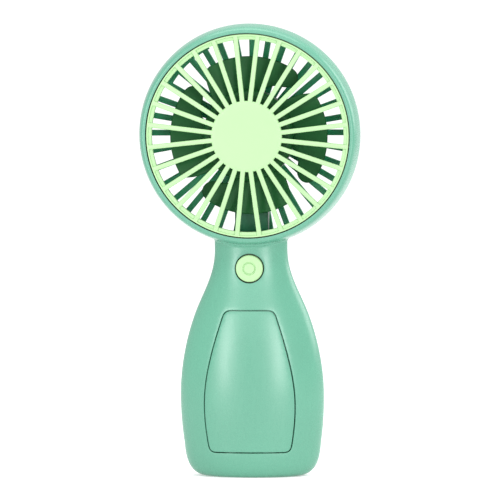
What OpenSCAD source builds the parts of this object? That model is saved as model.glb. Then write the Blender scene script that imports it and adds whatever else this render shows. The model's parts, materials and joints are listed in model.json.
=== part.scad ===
// Handheld electric fan: a bottle-shaped handle that stands on its base, with a round
// fan head on top. The fan faces -Y, +Z is up, and the origin is the centre of the base.
// Millimetres throughout.

/* [Head] */
// Outside radius of the round head housing
head_r = 50; // [49:0.1:51]
// Height of the fan axis above the base
head_z = 154.5; // [152:0.5:158]
// Distance from the parting plane to the front lip of the head
head_front = 12; // [11.5:0.1:12.5]
// Distance from the parting plane to the rear edge of the head
head_rear = 13; // [12.5:0.1:13.5]
// Radius of the hole in the front lip, which the front grille fills
lip_r = 46.1; // [46:0.1:46.3]
// Inside radius of the air duct
duct_r = 47.6; // [47.5:0.1:47.8]

/* [Handle] */
// Width of the handle at its widest
handle_w = 65.2; // [64:0.2:68]
// Width of the neck under the head
neck_w = 33; // [32:0.5:35]
// Depth of the handle divided by its width, the same at every height
depth_ratio = 0.46; // [0.46:0.01:0.48]
// Wall thickness of the shells and of the battery door
wall = 1.8; // [1.6:0.1:2]

/* [Grilles] */
// Number of spokes in the front grille
front_spokes = 28; // [20:2:32]
// Width of a front spoke
front_spoke_w = 2.2; // [1.8:0.1:2.4]
// Radius of the blank centre disc
disc_r = 16; // [14:0.5:18]
// How far the centre disc stands forward of the grille's rim
grille_dome = 4; // [3:0.2:4]
// Number of spokes in the rear grille
rear_spokes = 36; // [30:2:36]
// Width of a rear spoke
rear_spoke_w = 2.8; // [1.8:0.2:3.2]

/* [Impeller] */
// Number of blades
blades = 4; // [3:1:5]
// Radius to the blade tips
blade_r = 35; // [33:0.5:36]
// Radius of the impeller's hub
hub_r = 20.5; // [19:0.5:21]
// Angle that one blade covers, seen from the front
blade_span = 82; // [60:1:84]

/* [Battery door] */
// Height of the door's lower edge above the base
door_low = 11.9; // [11.5:0.1:12.5]
// Height of the door's upper edge above the base
door_high = 75.5; // [74:0.5:76]
// Gap between the door and the shell, all round
door_gap = 0.35; // [0.3:0.05:0.4]

/* [Button] */
// Radius of the power button
button_r = 6.1; // [5.5:0.1:6.2]
// Height of the button's centre above the base
button_z = 94.5; // [93.5:0.1:95]

/* [Hidden] */
$fn = 64;
smooth_fn = 96;
far = 200;
hair = 0.01;

// Half widths, and the depth of the handle's front face at any half width
half_w = handle_w / 2;
half_neck = neck_w / 2;
floor_t = 2.2;
neck_top = 112;

// Battery compartment: two AA cells side by side, their axes on the parting plane
cell_r = 7.25;
cell_h = 49.2;
cell_x = 7.65;
cell_low = 16.4;
tray_low = 12.6;
tray_high = 68.6;
tray_wall = 1.2;
tray_half = 2 * cell_x + 0.7;
tray_back = 8.55;

// Screws
case_screw_xz = [[-23, 22], [23, 22], [-12.5, 80], [12.5, 80]];
case_boss_r = 2.9;
case_pilot_r = 0.9;
case_clear_r = 1.25;
case_head_r = 2.1;
board_screw_x = 4.6;
board_screw_z = 84.8;
board_pin_x = 5.6;
board_pin_z = 101.2;
motor_screw_x = 7;

// Button, switch and board, as distances along Y
button_front = -9;
button_travel = 0.6;
button_flange_y = -5.5;
plunger_front = -3.9;
switch_front = -2.3;
board_front = 1.2;
board_t = 1.2;

// Motor: a flat round motor behind the hub, as distances along the fan axis
motor_r = 12.2;
motor_front = 1.5;
motor_rear = 13.8;
shaft_r = 1;
bush_r = 1.6;
pod_r = 14;
pod_bore_r = 12.4;
pod_rear = 14.2;
cap_rear = 16;
channel_w = 15;

// The head's own frame: its Z is the fan axis, pointing to the rear, and its -Y is up
module at_head() {
  translate([0, 0, head_z]) rotate([-90, 0, 0]) children();
}

module around(count, start = 0) {
  for (i = [0:count - 1]) rotate([0, 0, start + i * 360 / count]) children();
}

module slab(size) {
  translate([-size[0] / 2, -size[1] / 2, 0]) cube(size);
}

module tube(r_out, r_in, low, high) {
  translate([0, 0, low]) difference() {
    cylinder(r = r_out, h = high - low);
    translate([0, 0, -hair]) cylinder(r = r_in, h = high - low + 2 * hair);
  }
}

module rod_y(r, low, high) {
  translate([0, low, 0]) rotate([-90, 0, 0]) cylinder(r = r, h = high - low);
}

// A round wire swept along a path; keel is any direction the path never takes
module sweep(path, r, sides, keel) {
  last = len(path) - 1;
  rings = [for (i = [0:last]) let(
    along = path[min(i + 1, last)] - path[max(i - 1, 0)],
    u = cross(along, keel) / norm(cross(along, keel)),
    v = cross(u, along) / norm(along))
    [for (s = [0:sides - 1]) path[i] + r * (cos(360 * s / sides) * u + sin(360 * s / sides) * v)]];
  points = [for (ring = rings) for (p = ring) p];
  walls = [for (i = [0:last - 1]) for (s = [0:sides - 1]) let(n = (s + 1) % sides)
    [i * sides + s, i * sides + n, (i + 1) * sides + n, (i + 1) * sides + s]];
  start_face = [[for (s = [sides - 1:-1:0]) s]];
  end_face = [[for (s = [0:sides - 1]) last * sides + s]];
  polyhedron(points, concat(walls, start_face, end_face));
}

// A pie slice of a disc, for sectors of rings
module slice(r, angle) {
  steps = ceil(angle / 8);
  arc = [for (i = [0:steps]) let(a = -angle / 2 + angle * i / steps) r * [cos(a), sin(a)]];
  polygon(concat([[0, 0]], arc));
}

function bezier(p, t) =
  pow(1 - t, 3) * p[0] + 3 * pow(1 - t, 2) * t * p[1] + 3 * (1 - t) * t * t * p[2] + pow(t, 3) * p[3];
function curve(p, steps) = [for (i = [0:steps - 1]) bezier(p, i / steps)];

// Half width of the handle against height: base corner, lower side, belly, shoulder, neck
base_corner = [[half_w * 0.6, 0], [half_w * 0.84, 0], [half_w * 0.93, 5], [half_w * 0.951, 14.5]];
lower_side = [[half_w * 0.951, 14.5], [half_w * 0.979, 21], [half_w, 28], [half_w, 36]];
belly = [[half_w, 36], [half_w + 0.1, 52], [half_w * 0.871, 67.8], [half_w * 0.733, 78]];
shoulder = [[half_w * 0.733, 78], [half_w * 0.632, 85.5], [half_neck - 0.2, 93], [half_neck, 103]];
side = concat(curve(base_corner, 6), curve(lower_side, 3), curve(belly, 6), curve(shoulder, 6),
              [[half_neck, 103], [half_neck, neck_top]]);

// The handle as a solid, taken in by an even wall thickness; low cuts it off above the base.
// Uncut, it runs a little below the base, and the halves below are cut off flat there.
base_cut = 0.5;
module handle_solid(inset = 0, low = 0) {
  squash = (half_w * depth_ratio - inset) / (half_w - inset);
  foot = low > 0 ? [[0, low]] : [[0, -base_cut], [side[0][0] - inset, -base_cut]];
  scale([1, squash, 1]) rotate_extrude($fn = smooth_fn)
    polygon(concat(foot, [for (p = side) [p[0] - inset, max(p[1], low)]], [[0, neck_top]]));
}

module front_half() {
  translate([-far / 2, -far, 0]) cube([far, far, far + 30]);
}

module rear_half() {
  translate([-far / 2, 0, 0]) cube([far, far, far + 30]);
}

// Outline of the battery door: it follows the handle's sides and narrows to the top
door_side = concat(
  curve([[18.2, door_low], [19.4, 19], [20.4, 25], [20.4, 33]], 5),
  curve([[20.4, 33], [20.4, 45], [17.2, 57], [11, door_high]], 7),
  [[11, door_high]]);
module door_outline(grow = 0) {
  offset(delta = grow) offset(r = 3.4) offset(delta = -3.4)
    polygon(concat(door_side, [for (i = [len(door_side) - 1:-1:0]) [-door_side[i][0], door_side[i][1]]]));
}

// Extrudes a flat outline in X and Z along Y
module through_y(low, high) {
  translate([0, high, 0]) rotate([90, 0, 0]) linear_extrude(height = high - low) children();
}

// Outer skin of the head: a shallow barrel with round front and rear edges
head_front_edge = [[lip_r + 0.9, -head_front], [lip_r + 2.6, -head_front],
                   [head_r - 0.7, -9], [head_r, -2.5]];
head_rear_edge = [[head_r, -1], [head_r - 0.4, 4], [head_r - 1.1, 10], [head_r - 1.7, head_rear]];
module head_ring() {
  at_head() rotate_extrude($fn = smooth_fn) polygon(concat(
    [[lip_r, -9.8], [lip_r, -head_front]], curve(head_front_edge, 6),
    curve(head_rear_edge, 6), [[head_r - 1.7, head_rear], [duct_r, head_rear], [duct_r, -9.8]]));
}

module case_boss_front(x, z) {
  translate([x, 0, z]) difference() {
    rod_y(case_boss_r, -far / 8, 0);
    rod_y(case_pilot_r, -6, 1);
  }
}

// Front shell: the head ring and the front half of the handle in one moulding
module front_shell() {
  color("mediumaquamarine") {
    difference() {
      union() {
        difference() {
          intersection() {
            difference() {
              handle_solid();
              handle_solid(wall, floor_t);
            }
            front_half();
          }
          at_head() translate([0, 0, -30]) cylinder(r = head_r - 1, h = 60, $fn = smooth_fn);
        }
        head_ring();
      }
      through_y(-30, -4) door_outline(door_gap);
      translate([0, 0, button_z]) rod_y(button_r + 0.4, -20, -3);
      translate([-5, 2.6, head_z - head_r - 2]) cube([10, 3.8, 8]);
    }
    intersection() {
      handle_solid(wall - 0.05, floor_t);
      union() {
        for (p = case_screw_xz) case_boss_front(p[0], p[1]);
        for (x = [-board_screw_x, board_screw_x]) translate([x, 0, board_screw_z]) difference() {
          rod_y(1.8, -12, board_front);
          rod_y(0.65, -4, board_front + 1);
        }
        for (x = [-board_pin_x, board_pin_x]) translate([x, 0, board_pin_z]) rod_y(1, -12, board_front);
      }
    }
    door_ledge();
  }
}

// The ledge behind the door's edge, left open along the bottom for the hook tabs
ledge_gap = 0.3;
ledge_t = 1.2;
module door_ledge() {
  difference() {
    union() {
      intersection() {
        handle_solid(wall - 0.05, floor_t);
        door_frame(1.8, door_gap);
      }
      intersection() {
        handle_solid(wall + ledge_gap, floor_t);
        door_frame(1, -1.1);
      }
    }
    handle_solid(wall + ledge_gap + ledge_t, floor_t);
    translate([-25, -30, 0]) cube([50, 30, door_low + 4.5]);
  }
}

module door_frame(outer, inner) {
  through_y(-30, -4) difference() {
    door_outline(outer);
    door_outline(inner);
  }
}

// Rear shell: the back half of the handle, up to the underside of the head
module rear_shell() {
  color("mediumaquamarine") difference() {
    union() {
      intersection() {
        difference() {
          handle_solid();
          handle_solid(wall, floor_t);
        }
        rear_half();
      }
      intersection() {
        handle_solid(wall - 0.05, floor_t);
        for (p = case_screw_xz) translate([p[0], 0, p[1]]) rod_y(case_boss_r, 0, 16);
        for (x = [-cell_x, cell_x], z = [25, 56]) translate([x, 0, z]) rod_y(2, tray_back, 16);
      }
    }
    at_head() translate([0, 0, -hair]) cylinder(r1 = head_r + 0.15, r2 = head_r - 1, h = 10, $fn = smooth_fn);
    for (p = case_screw_xz) translate([p[0], 0, p[1]]) {
      rod_y(case_clear_r, -1, 20);
      rod_y(case_head_r + 0.25, 4, 20);
    }
  }
}

module screw(head_radius, head_t, shank_r, shank) {
  difference() {
    cylinder(r = head_radius, h = head_t, $fn = 32);
    for (a = [0, 90]) rotate([0, 0, a]) translate([0, 0, head_t - 0.6]) slab([head_radius * 1.3, 0.5, 1]);
  }
  translate([0, 0, -shank]) cylinder(r = shank_r, h = shank + hair, $fn = 32);
}

// Four screws that close the case from behind
module case_screws() {
  color("silver") for (p = case_screw_xz)
    translate([p[0], 4, p[1]]) rotate([-90, 0, 0]) screw(case_head_r, 1.4, 0.9, 9.4);
}

// Battery door: a curved panel with two hook tabs below and a latch tongue above
module battery_door() {
  color("mediumaquamarine") {
    intersection() {
      difference() {
        handle_solid();
        handle_solid(wall);
      }
      through_y(-30, -4) door_outline();
    }
    intersection() {
      difference() {
        handle_solid(wall - 0.05);
        handle_solid(wall + 1.2);
      }
      for (x = [-9, 9]) translate([x - 2.5, -30, door_low - 1.3]) cube([5, 24, 5]);
      handle_solid(wall + 0.15);
    }
    door_tab_roots();
    intersection() {
      difference() {
        handle_solid(wall - 0.05);
        handle_solid(wall + 1.2);
      }
      translate([-3.5, -30, door_high - 5.5]) cube([7, 24, 3.8]);
    }
  }
}

// The roots that join the hook tabs to the panel
module door_tab_roots() {
  intersection() {
    difference() {
      handle_solid(wall - 0.05);
      handle_solid(wall + 1.2);
    }
    for (x = [-9, 9]) translate([x - 2.5, -30, door_low + 0.2]) cube([5, 24, 3.5]);
  }
}

// Battery tray: two troughs between the shells, open to the door
module battery_tray() {
  color("darkslategray") difference() {
    intersection() {
      union() {
        for (x = [-cell_x, cell_x]) translate([x, 0, tray_low])
          cylinder(r = tray_back, h = tray_high - tray_low);
        translate([-tray_half, -14, tray_low]) cube([2 * tray_half, 14, tray_high - tray_low]);
      }
      handle_solid(wall + 1.65);
    }
    for (x = [-cell_x, cell_x]) translate([x, 0, tray_low + tray_wall]) {
      cylinder(r = 7.45, h = tray_high - tray_low - 2 * tray_wall);
      translate([-7.45, -20, 0]) cube([14.9, 20, tray_high - tray_low - 2 * tray_wall]);
    }
    for (x = [-cell_x, cell_x]) translate([x - 1.5, -2, tray_high - 2]) cube([3, 4, 3]);
  }
}

// AA cell, standing; flip turns it over
module aa_cell(x, flip) {
  translate([x, 0, cell_low + cell_h / 2]) rotate([flip ? 180 : 0, 0, 0]) translate([0, 0, -cell_h / 2]) {
    cylinder(r = cell_r - 0.25, h = cell_h - 1.2);
    translate([0, 0, cell_h - 1.2 - hair]) cylinder(r = 2.7, h = 1.2 + hair);
  }
}

module cell_sleeve(x) {
  translate([x, 0, cell_low]) tube(cell_r, cell_r - 0.25, 1.4, cell_h - 1.4);
}

module aa_cell_left() {
  color("silver") aa_cell(-cell_x, false);
}

module aa_cell_right() {
  color("silver") aa_cell(cell_x, true);
}

module cell_sleeve_left() {
  color("seagreen") cell_sleeve(-cell_x);
}

module cell_sleeve_right() {
  color("seagreen") cell_sleeve(cell_x);
}

// Contact plates at the ends of the troughs
plate_t = 0.4;
floor_plate_z = tray_low + tray_wall;
roof_plate_z = tray_high - tray_wall - plate_t;

module bridge_contact() {
  color("silver") {
    for (x = [-cell_x, cell_x]) translate([x, 0, floor_plate_z]) slab([10, 9, plate_t]);
    translate([cell_x, 0, floor_plate_z + plate_t - hair])
      cylinder(r1 = 3.2, r2 = 2, h = cell_low - floor_plate_z - plate_t + hair);
  }
}

module positive_contact() {
  color("silver") {
    translate([-cell_x, 0, roof_plate_z]) slab([10, 9, plate_t]);
    translate([-cell_x, 0, cell_low + cell_h])
      cylinder(r1 = 2, r2 = 3.2, h = roof_plate_z - cell_low - cell_h + hair);
    translate([-cell_x, 0, roof_plate_z]) slab([2, 0.6, 4.5]);
  }
}

module negative_contact() {
  color("silver") {
    translate([cell_x, 0, roof_plate_z]) slab([10, 9, plate_t]);
    translate([cell_x, 0, roof_plate_z]) slab([2, 0.6, 4.5]);
  }
}

// Conical contact spring
spring_turns = 3;
spring_steps = 14;
spring_wire_r = 0.28;
function spring_point(i, height) =
  let(share = i / (spring_turns * spring_steps), a = 360 * i / spring_steps, r = 4.3 - 1.9 * share)
  [r * cos(a), r * sin(a), 0.3 + share * (height - 0.6)];
module contact_spring(height) {
  path = [for (i = [0:spring_turns * spring_steps]) spring_point(i, height)];
  sweep(path, spring_wire_r, 6, [0, 0, 1]);
}

module spring_bottom() {
  low = floor_plate_z + plate_t + 0.02;
  color("silver") translate([-cell_x, 0, low]) contact_spring(cell_low - low - 0.02);
}

module spring_top() {
  high = roof_plate_z - 0.02;
  color("silver") translate([cell_x, 0, high]) rotate([180, 0, 0])
    contact_spring(high - cell_low - cell_h - 0.02);
}

// Leads from the tray's contacts up to the back of the board
lead_r = 0.5;
lead_sides = 8;
lead_y = board_front + board_t + lead_r;
module battery_lead(x) {
  x_end = x * 0.12;
  path = concat(curve([[x, 0.9, tray_high + 0.6], [x, 0.9, 76], [x_end, 5, 77], [x_end, lead_y, 85]], 10),
                [[x_end, lead_y, 85], [x_end, lead_y, 88]]);
  sweep(path, lead_r, lead_sides, [0, 1, 0]);
}

module battery_lead_red() {
  color("firebrick") battery_lead(-cell_x);
}

module battery_lead_black() {
  color("black") battery_lead(cell_x);
}

// Power button: a round cap with a ring groove, a retaining flange and a stem
module power_button() {
  color("palegreen") translate([0, 0, button_z]) rotate([-90, 0, 0]) {
    rotate_extrude() polygon([[0, button_front], [2.2, button_front], [2.35, button_front + 0.35],
      [2.95, button_front + 0.35], [3.1, button_front], [button_r - 0.7, button_front],
      [button_r - 0.2, button_front + 0.2], [button_r, button_front + 0.7],
      [button_r, button_flange_y + 0.4], [button_r - 1.3, button_flange_y + 0.4],
      [button_r - 1.3, button_front + 1.5], [0, button_front + 1.5]]);
    tube(button_r + 0.8, button_r - 1.3, button_flange_y, button_flange_y + 0.8);
    translate([0, 0, button_front + 1.4]) cylinder(r = 1.5, h = plunger_front - button_front - 1.4);
    for (a = [45, 135]) rotate([0, 0, a]) translate([0, 0, button_front + 1.4])
      slab([2 * button_r - 2, 0.9, button_flange_y - button_front - 1.4]);
  }
}

module control_board() {
  color("darkgreen") difference() {
    translate([0, board_front, 92.6]) rotate([-90, 0, 0]) slab([14, 20, board_t]);
    for (x = [-board_screw_x, board_screw_x]) translate([x, 0, board_screw_z]) rod_y(1, 0, 4);
  }
}

module board_screws() {
  color("silver") for (x = [-board_screw_x, board_screw_x])
    translate([x, board_front + board_t, board_screw_z]) rotate([-90, 0, 0]) screw(1.6, 1, 0.65, 5);
}

module tact_switch() {
  color("dimgray") translate([0, 0, button_z]) difference() {
    translate([0, switch_front, 0]) rotate([-90, 0, 0]) slab([6, 6, board_front - switch_front]);
    rod_y(1.8, switch_front - 1, switch_front + 1.3);
  }
}

module switch_plunger() {
  color("black") translate([0, 0, button_z]) rod_y(1.7, plunger_front, switch_front + 0.4);
}

module speed_chip() {
  y = board_front + board_t;
  color("black") translate([0, y, 95]) rotate([-90, 0, 0]) slab([4, 5, 1.5]);
  color("silver") for (x = [-2.6, 2.6], z = [-1.9, -0.63, 0.63, 1.9])
    translate([x, y, 95 + z]) rotate([-90, 0, 0]) slab([1.3, 0.45, 0.8]);
}

module filter_capacitor() {
  color("tan") translate([0, board_front + board_t, 89.6]) rotate([-90, 0, 0]) slab([3.2, 1.6, 1.4]);
}

// Front grille: a rim flanged behind the head's lip, and straight spokes that rise to a blank disc
rim_out = lip_r - 0.3;
rim_in = 43.3;
spoke_t = 1.8;
spoke_rise = atan(grille_dome / (rim_out - disc_r));
disc_front = -head_front - grille_dome;
module front_grille() {
  color("palegreen") at_head() {
    rotate_extrude($fn = smooth_fn) polygon([[rim_in, -9.2], [rim_in, -11.4], [rim_out - 1, -11.4],
      [rim_out - 0.8, -head_front], [rim_out - 0.2, -head_front], [rim_out, -11.8],
      [rim_out, -9.65], [rim_out + 1.1, -9.65], [rim_out + 1.1, -9.2]]);
    rotate_extrude($fn = smooth_fn) polygon([[0, disc_front + spoke_t], [0, disc_front],
      [disc_r - 0.5, disc_front], [disc_r, disc_front + 0.4], [disc_r, disc_front + spoke_t]]);
    around(front_spokes, 180 / front_spokes) translate([rim_out - 0.25, 0, -head_front + spoke_t])
      rotate([0, -spoke_rise, 0]) translate([disc_r - rim_out - 0.35, -front_spoke_w / 2, -spoke_t])
        cube([rim_out - disc_r + 0.35, front_spoke_w, spoke_t]);
    around(4, 45) rotate_extrude(angle = 12, $fn = smooth_fn)
      polygon([[44.2, -9.4], [rim_out + 0.8, -9.4], [rim_out + 0.4, -8.2], [44.2, -8.2]]);
  }
}

// Impeller: a cup-shaped hub on the shaft, with broad twisted blades
hub_front = -10.7;
hub_rear = -1.2;
blade_front = -9.2;
blade_depth = 10;
blade_slice = 10;
module impeller() {
  color("darkgreen") at_head() {
    rotate_extrude() polygon(concat(
      [[3.4, hub_front + 1.4], [3.4, -3], [shaft_r, -3], [shaft_r, hub_front + 1.4],
       [0, hub_front + 1.4]],
      [[0, hub_front]],
      [for (a = [90:-15:0]) [hub_r - 2.6 + 2.6 * cos(a), hub_front + 2.6 - 2.6 * sin(a)]],
      [[hub_r, hub_rear], [hub_r - 1.3, hub_rear], [hub_r - 1.3, hub_front + 2.8],
       [hub_r - 2.8, hub_front + 1.4]]));
    intersection() {
      around(blades) translate([0, 0, blade_front]) difference() {
        linear_extrude(height = blade_depth, twist = -(blade_span - blade_slice), slices = 14)
          slice(blade_r + 3, blade_slice);
        translate([0, 0, -1]) cylinder(r = hub_r - 0.6, h = blade_depth + 2);
      }
      translate([0, 0, blade_front - 1]) cylinder(r = blade_r, h = blade_depth + 2, $fn = smooth_fn);
    }
  }
}

// Motor: shaft, wound rotor, steel can, magnets, bearings, brushes and end cap
module motor_shaft() {
  color("silver") at_head() translate([0, 0, hub_front + 1.4])
    cylinder(r = shaft_r, h = motor_rear - hub_front - 1.6);
}

module armature_core() {
  color("gray") at_head() difference() {
    union() {
      translate([0, 0, 4.4]) cylinder(r = 3.2, h = 5);
      around(3) {
        translate([2, -1.5, 4.6]) cube([6.2, 3, 4.6]);
        rotate([0, 0, -42]) rotate_extrude(angle = 84) translate([7.6, 4.4]) square([1.4, 5]);
      }
    }
    translate([0, 0, 4]) cylinder(r = shaft_r, h = 6);
  }
}

module armature_windings() {
  color("chocolate") at_head() around(3) translate([4, 0, 6.9]) difference() {
    translate([0, -2.9, -3.6]) cube([2.8, 5.8, 7.2]);
    translate([-1, -1.5, -2.5]) cube([6, 3, 5]);
  }
}

module commutator() {
  color("peru") at_head() tube(2.2, shaft_r, 10.7, 12.1);
}

module motor_can() {
  color("silver") at_head() {
    tube(motor_r, motor_r - 0.7, motor_front, motor_rear);
    difference() {
      union() {
        translate([0, 0, motor_front]) cylinder(r = motor_r - 0.5, h = 0.8);
        translate([0, 0, motor_front - 1.1]) cylinder(r = 3.1, h = 1.4);
      }
      translate([0, 0, -1]) cylinder(r = bush_r, h = 6);
      for (x = [-motor_screw_x, motor_screw_x]) translate([x, 0, 0]) cylinder(r = 0.8, h = 6);
    }
  }
}

module motor_magnets() {
  color("dimgray") at_head() for (side_angle = [0, 180]) rotate([0, 0, side_angle])
    translate([0, 0, 3.6]) intersection() {
      difference() {
        cylinder(r = motor_r - 0.7, h = 7);
        translate([0, 0, -1]) cylinder(r = 9.5, h = 9);
      }
      linear_extrude(height = 7) slice(20, 140);
    }
}

module front_bush() {
  color("goldenrod") at_head() tube(bush_r, shaft_r + 0.03, motor_front - 1.1, motor_front + 1.3);
}

module motor_end_cap() {
  color("whitesmoke") at_head() difference() {
    translate([0, 0, 12.6]) cylinder(r = motor_r - 0.7, h = 1.2);
    translate([0, 0, 10]) cylinder(r = bush_r, h = 6);
    for (x = [-2.6, 2.6]) translate([x, 7, 12]) slab([2.6, 0.7, 4]);
  }
}

module rear_bush() {
  color("goldenrod") at_head() tube(bush_r, shaft_r + 0.03, 12.3, motor_rear);
}

module motor_brushes() {
  color("goldenrod") at_head() for (turn = [0, 180]) rotate([0, 0, turn])
    translate([2.26, -0.6, 10.9]) cube([0.5, 7.2, 1]);
}

module motor_terminals() {
  color("goldenrod") at_head() for (x = [-2.6, 2.6]) translate([x, 7, 12.4]) slab([2.4, 0.5, 2.5]);
}

module motor_screws() {
  color("silver") at_head() for (x = [-motor_screw_x, motor_screw_x])
    translate([x, 0, 0]) rotate([180, 0, 0]) screw(1.5, 0.9, 0.75, 2.6);
}

// Leads from the board, up the channel of the rear grille, to the motor
motor_lead_y = 14.4;
module motor_lead(side_sign) {
  x_low = 5.2 * side_sign;
  x_high = 1.6 * side_sign;
  path = concat(
    curve([[x_low, lead_y, 96], [x_low, lead_y, 101], [x_high, 3.6, 101], [x_high, 5, 108]], 8),
    curve([[x_high, 5, 108], [x_high, 7, 118], [x_high, 8.5, 124], [x_high, 8.5, 134]], 6),
    curve([[x_high, 8.5, 134], [x_high, 8.5, 141], [x_high, 11.4, head_z - 13.4],
      [x_high, 12, head_z - 13.3]], 5),
    curve([[x_high, 12, head_z - 13.3], [x_high, 14, head_z - 13.2], [x_high, motor_lead_y, head_z - 12],
           [x_high, motor_lead_y, head_z - 10]], 6),
    [[x_high, motor_lead_y, head_z - 10], [x_high, motor_lead_y, head_z - 7.8]]);
  sweep(path, lead_r, lead_sides, [1, 0, 0]);
}

module motor_lead_red() {
  color("firebrick") motor_lead(-1);
}

module motor_lead_black() {
  color("black") motor_lead(1);
}

// Rear grille: a rim with snap tabs, spokes, the motor pod and the wire channel
rear_rim_in = 46.4;
rear_rise = atan(2 / (rear_rim_in - pod_r));
module rear_grille() {
  color("seagreen") at_head() difference() {
    union() {
      rotate_extrude($fn = smooth_fn) polygon([[rear_rim_in, 10.4], [duct_r - 0.15, 10.4],
        [duct_r - 0.15, head_rear - 0.5], [duct_r - 0.45, head_rear - 0.2],
        [rear_rim_in, head_rear - 0.2]]);
      around(4, 45) rotate([0, 0, -9]) rotate_extrude(angle = 18, $fn = smooth_fn)
        translate([46.2, 6.4]) square([1.1, 5]);
      around(rear_spokes) translate([rear_rim_in + 0.6, 0, 12.6]) rotate([0, rear_rise, 0])
        translate([pod_r - rear_rim_in, -rear_spoke_w / 2, -2])
          cube([rear_rim_in - pod_r, rear_spoke_w, 2]);
      rotate_extrude() polygon([[3.3, 0], [pod_r, 0], [pod_r, 12.2], [pod_r + 3.5, 12.2],
        [pod_r + 3.5, pod_rear], [pod_bore_r, pod_rear], [pod_bore_r, motor_front], [3.3, motor_front]]);
      rotate([0, 0, -152]) rotate_extrude(angle = 35, $fn = smooth_fn)
        translate([42.6, 10.7]) square([4.1, 1.8]);
      translate([-channel_w / 2, pod_r - 1, 2.6]) cube([channel_w, 47.8 - pod_r, 9.9]);
    }
    translate([-channel_w / 2 + 1.2, pod_r + 0.6, 3.6]) cube([channel_w - 2.4, 40, 7.9]);
    translate([-2.6, pod_bore_r - 1, 8]) cube([5.2, 4, 3.45]);
    translate([-2.6, pod_bore_r - 1, 11.4]) cube([5.2, pod_r + 0.2 - pod_bore_r + 1, 4]);
    for (x = [-motor_screw_x, motor_screw_x]) translate([x, 0, -1]) cylinder(r = 0.9, h = 4);
  }
}

// Cap that closes the motor pod from behind, notched over the leads
module motor_cap() {
  color("mediumaquamarine") at_head() difference() {
    rotate_extrude() polygon([[0, cap_rear - 0.9], [pod_r - 1.4, cap_rear - 0.9],
      [pod_r - 1.4, pod_rear + 0.05], [pod_r + 0.6, pod_rear + 0.05], [pod_r + 0.6, cap_rear - 0.9],
      [pod_r - 0.2, cap_rear - 0.2], [pod_r - 1.2, cap_rear], [10.5, cap_rear],
      [10.2, cap_rear - 0.4], [9.8, cap_rear - 0.4], [9.5, cap_rear], [0, cap_rear]]);
    translate([-2.6, pod_bore_r - 1, pod_rear - 1])
      cube([5.2, pod_r - pod_bore_r + 1, cap_rear - pod_rear + 0.1]);
  }
}

front_shell();
rear_shell();
case_screws();
battery_door();
battery_tray();
aa_cell_left();
aa_cell_right();
cell_sleeve_left();
cell_sleeve_right();
bridge_contact();
positive_contact();
negative_contact();
spring_bottom();
spring_top();
battery_lead_red();
battery_lead_black();
power_button();
control_board();
board_screws();
tact_switch();
switch_plunger();
speed_chip();
filter_capacitor();
front_grille();
impeller();
motor_shaft();
armature_core();
armature_windings();
commutator();
motor_can();
motor_magnets();
front_bush();
motor_end_cap();
rear_bush();
motor_brushes();
motor_terminals();
motor_screws();
motor_lead_red();
motor_lead_black();
rear_grille();
motor_cap();
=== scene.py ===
import json
import math

import bmesh
import bpy
import numpy as np
from bpy.props import FloatProperty, FloatVectorProperty, IntProperty, PointerProperty
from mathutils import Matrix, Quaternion, Vector
from mathutils.geometry import delaunay_2d_cdt


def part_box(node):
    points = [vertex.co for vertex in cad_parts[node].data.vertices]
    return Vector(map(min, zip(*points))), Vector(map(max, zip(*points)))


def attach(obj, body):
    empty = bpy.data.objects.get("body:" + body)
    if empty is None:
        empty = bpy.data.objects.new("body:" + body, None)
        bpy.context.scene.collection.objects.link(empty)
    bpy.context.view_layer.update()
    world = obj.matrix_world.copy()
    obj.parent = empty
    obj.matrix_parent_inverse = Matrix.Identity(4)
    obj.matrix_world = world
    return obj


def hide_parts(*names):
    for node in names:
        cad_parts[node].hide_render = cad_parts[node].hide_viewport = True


bl_info = {
    "name": "Handheld Electric Fan",
    "version": (1, 0, 0),
    "blender": (4, 5, 0),
    "location": "View3D > Sidebar > Fan",
    "description": "Dresses a handheld fan in moulded plastic, metal and a soft studio",
    "category": "Object",
}

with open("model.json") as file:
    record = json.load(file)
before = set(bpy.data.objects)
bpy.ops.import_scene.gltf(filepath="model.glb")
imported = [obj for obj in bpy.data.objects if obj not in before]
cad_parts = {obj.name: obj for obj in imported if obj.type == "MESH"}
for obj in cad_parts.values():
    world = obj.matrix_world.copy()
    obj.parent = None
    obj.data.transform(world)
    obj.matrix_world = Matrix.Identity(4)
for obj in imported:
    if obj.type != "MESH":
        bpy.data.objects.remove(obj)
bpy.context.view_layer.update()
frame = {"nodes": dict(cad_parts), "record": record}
MM = 0.001

# Radii and offsets shared by several pieces, in millimetres
LIP, DUCT, POD = 46.1, 47.6, 14.0
GRILLE_RIM = 45.8
BUTTON_CLEARANCE = 0.45
SEAM = 0.06
CELL_OFFSET = 7.65
SCREW_PLACES = ((-23, 22), (23, 22), (-12.5, 80), (12.5, 80))
SCREW_DEPTH = 4.0
SNAP_ANGLES = (45, 135, 225, 315)


# ---------------------------------------------------------------- sizes and colours


def length(name, about, default):
    return FloatProperty(name=name, description=about, default=default * MM, unit="LENGTH",
                         subtype="DISTANCE", precision=5)


def colour(name, about, default):
    return FloatVectorProperty(name=name, description=about, default=default, size=3,
                               subtype="COLOR", min=0.0, max=1.0)


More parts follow.
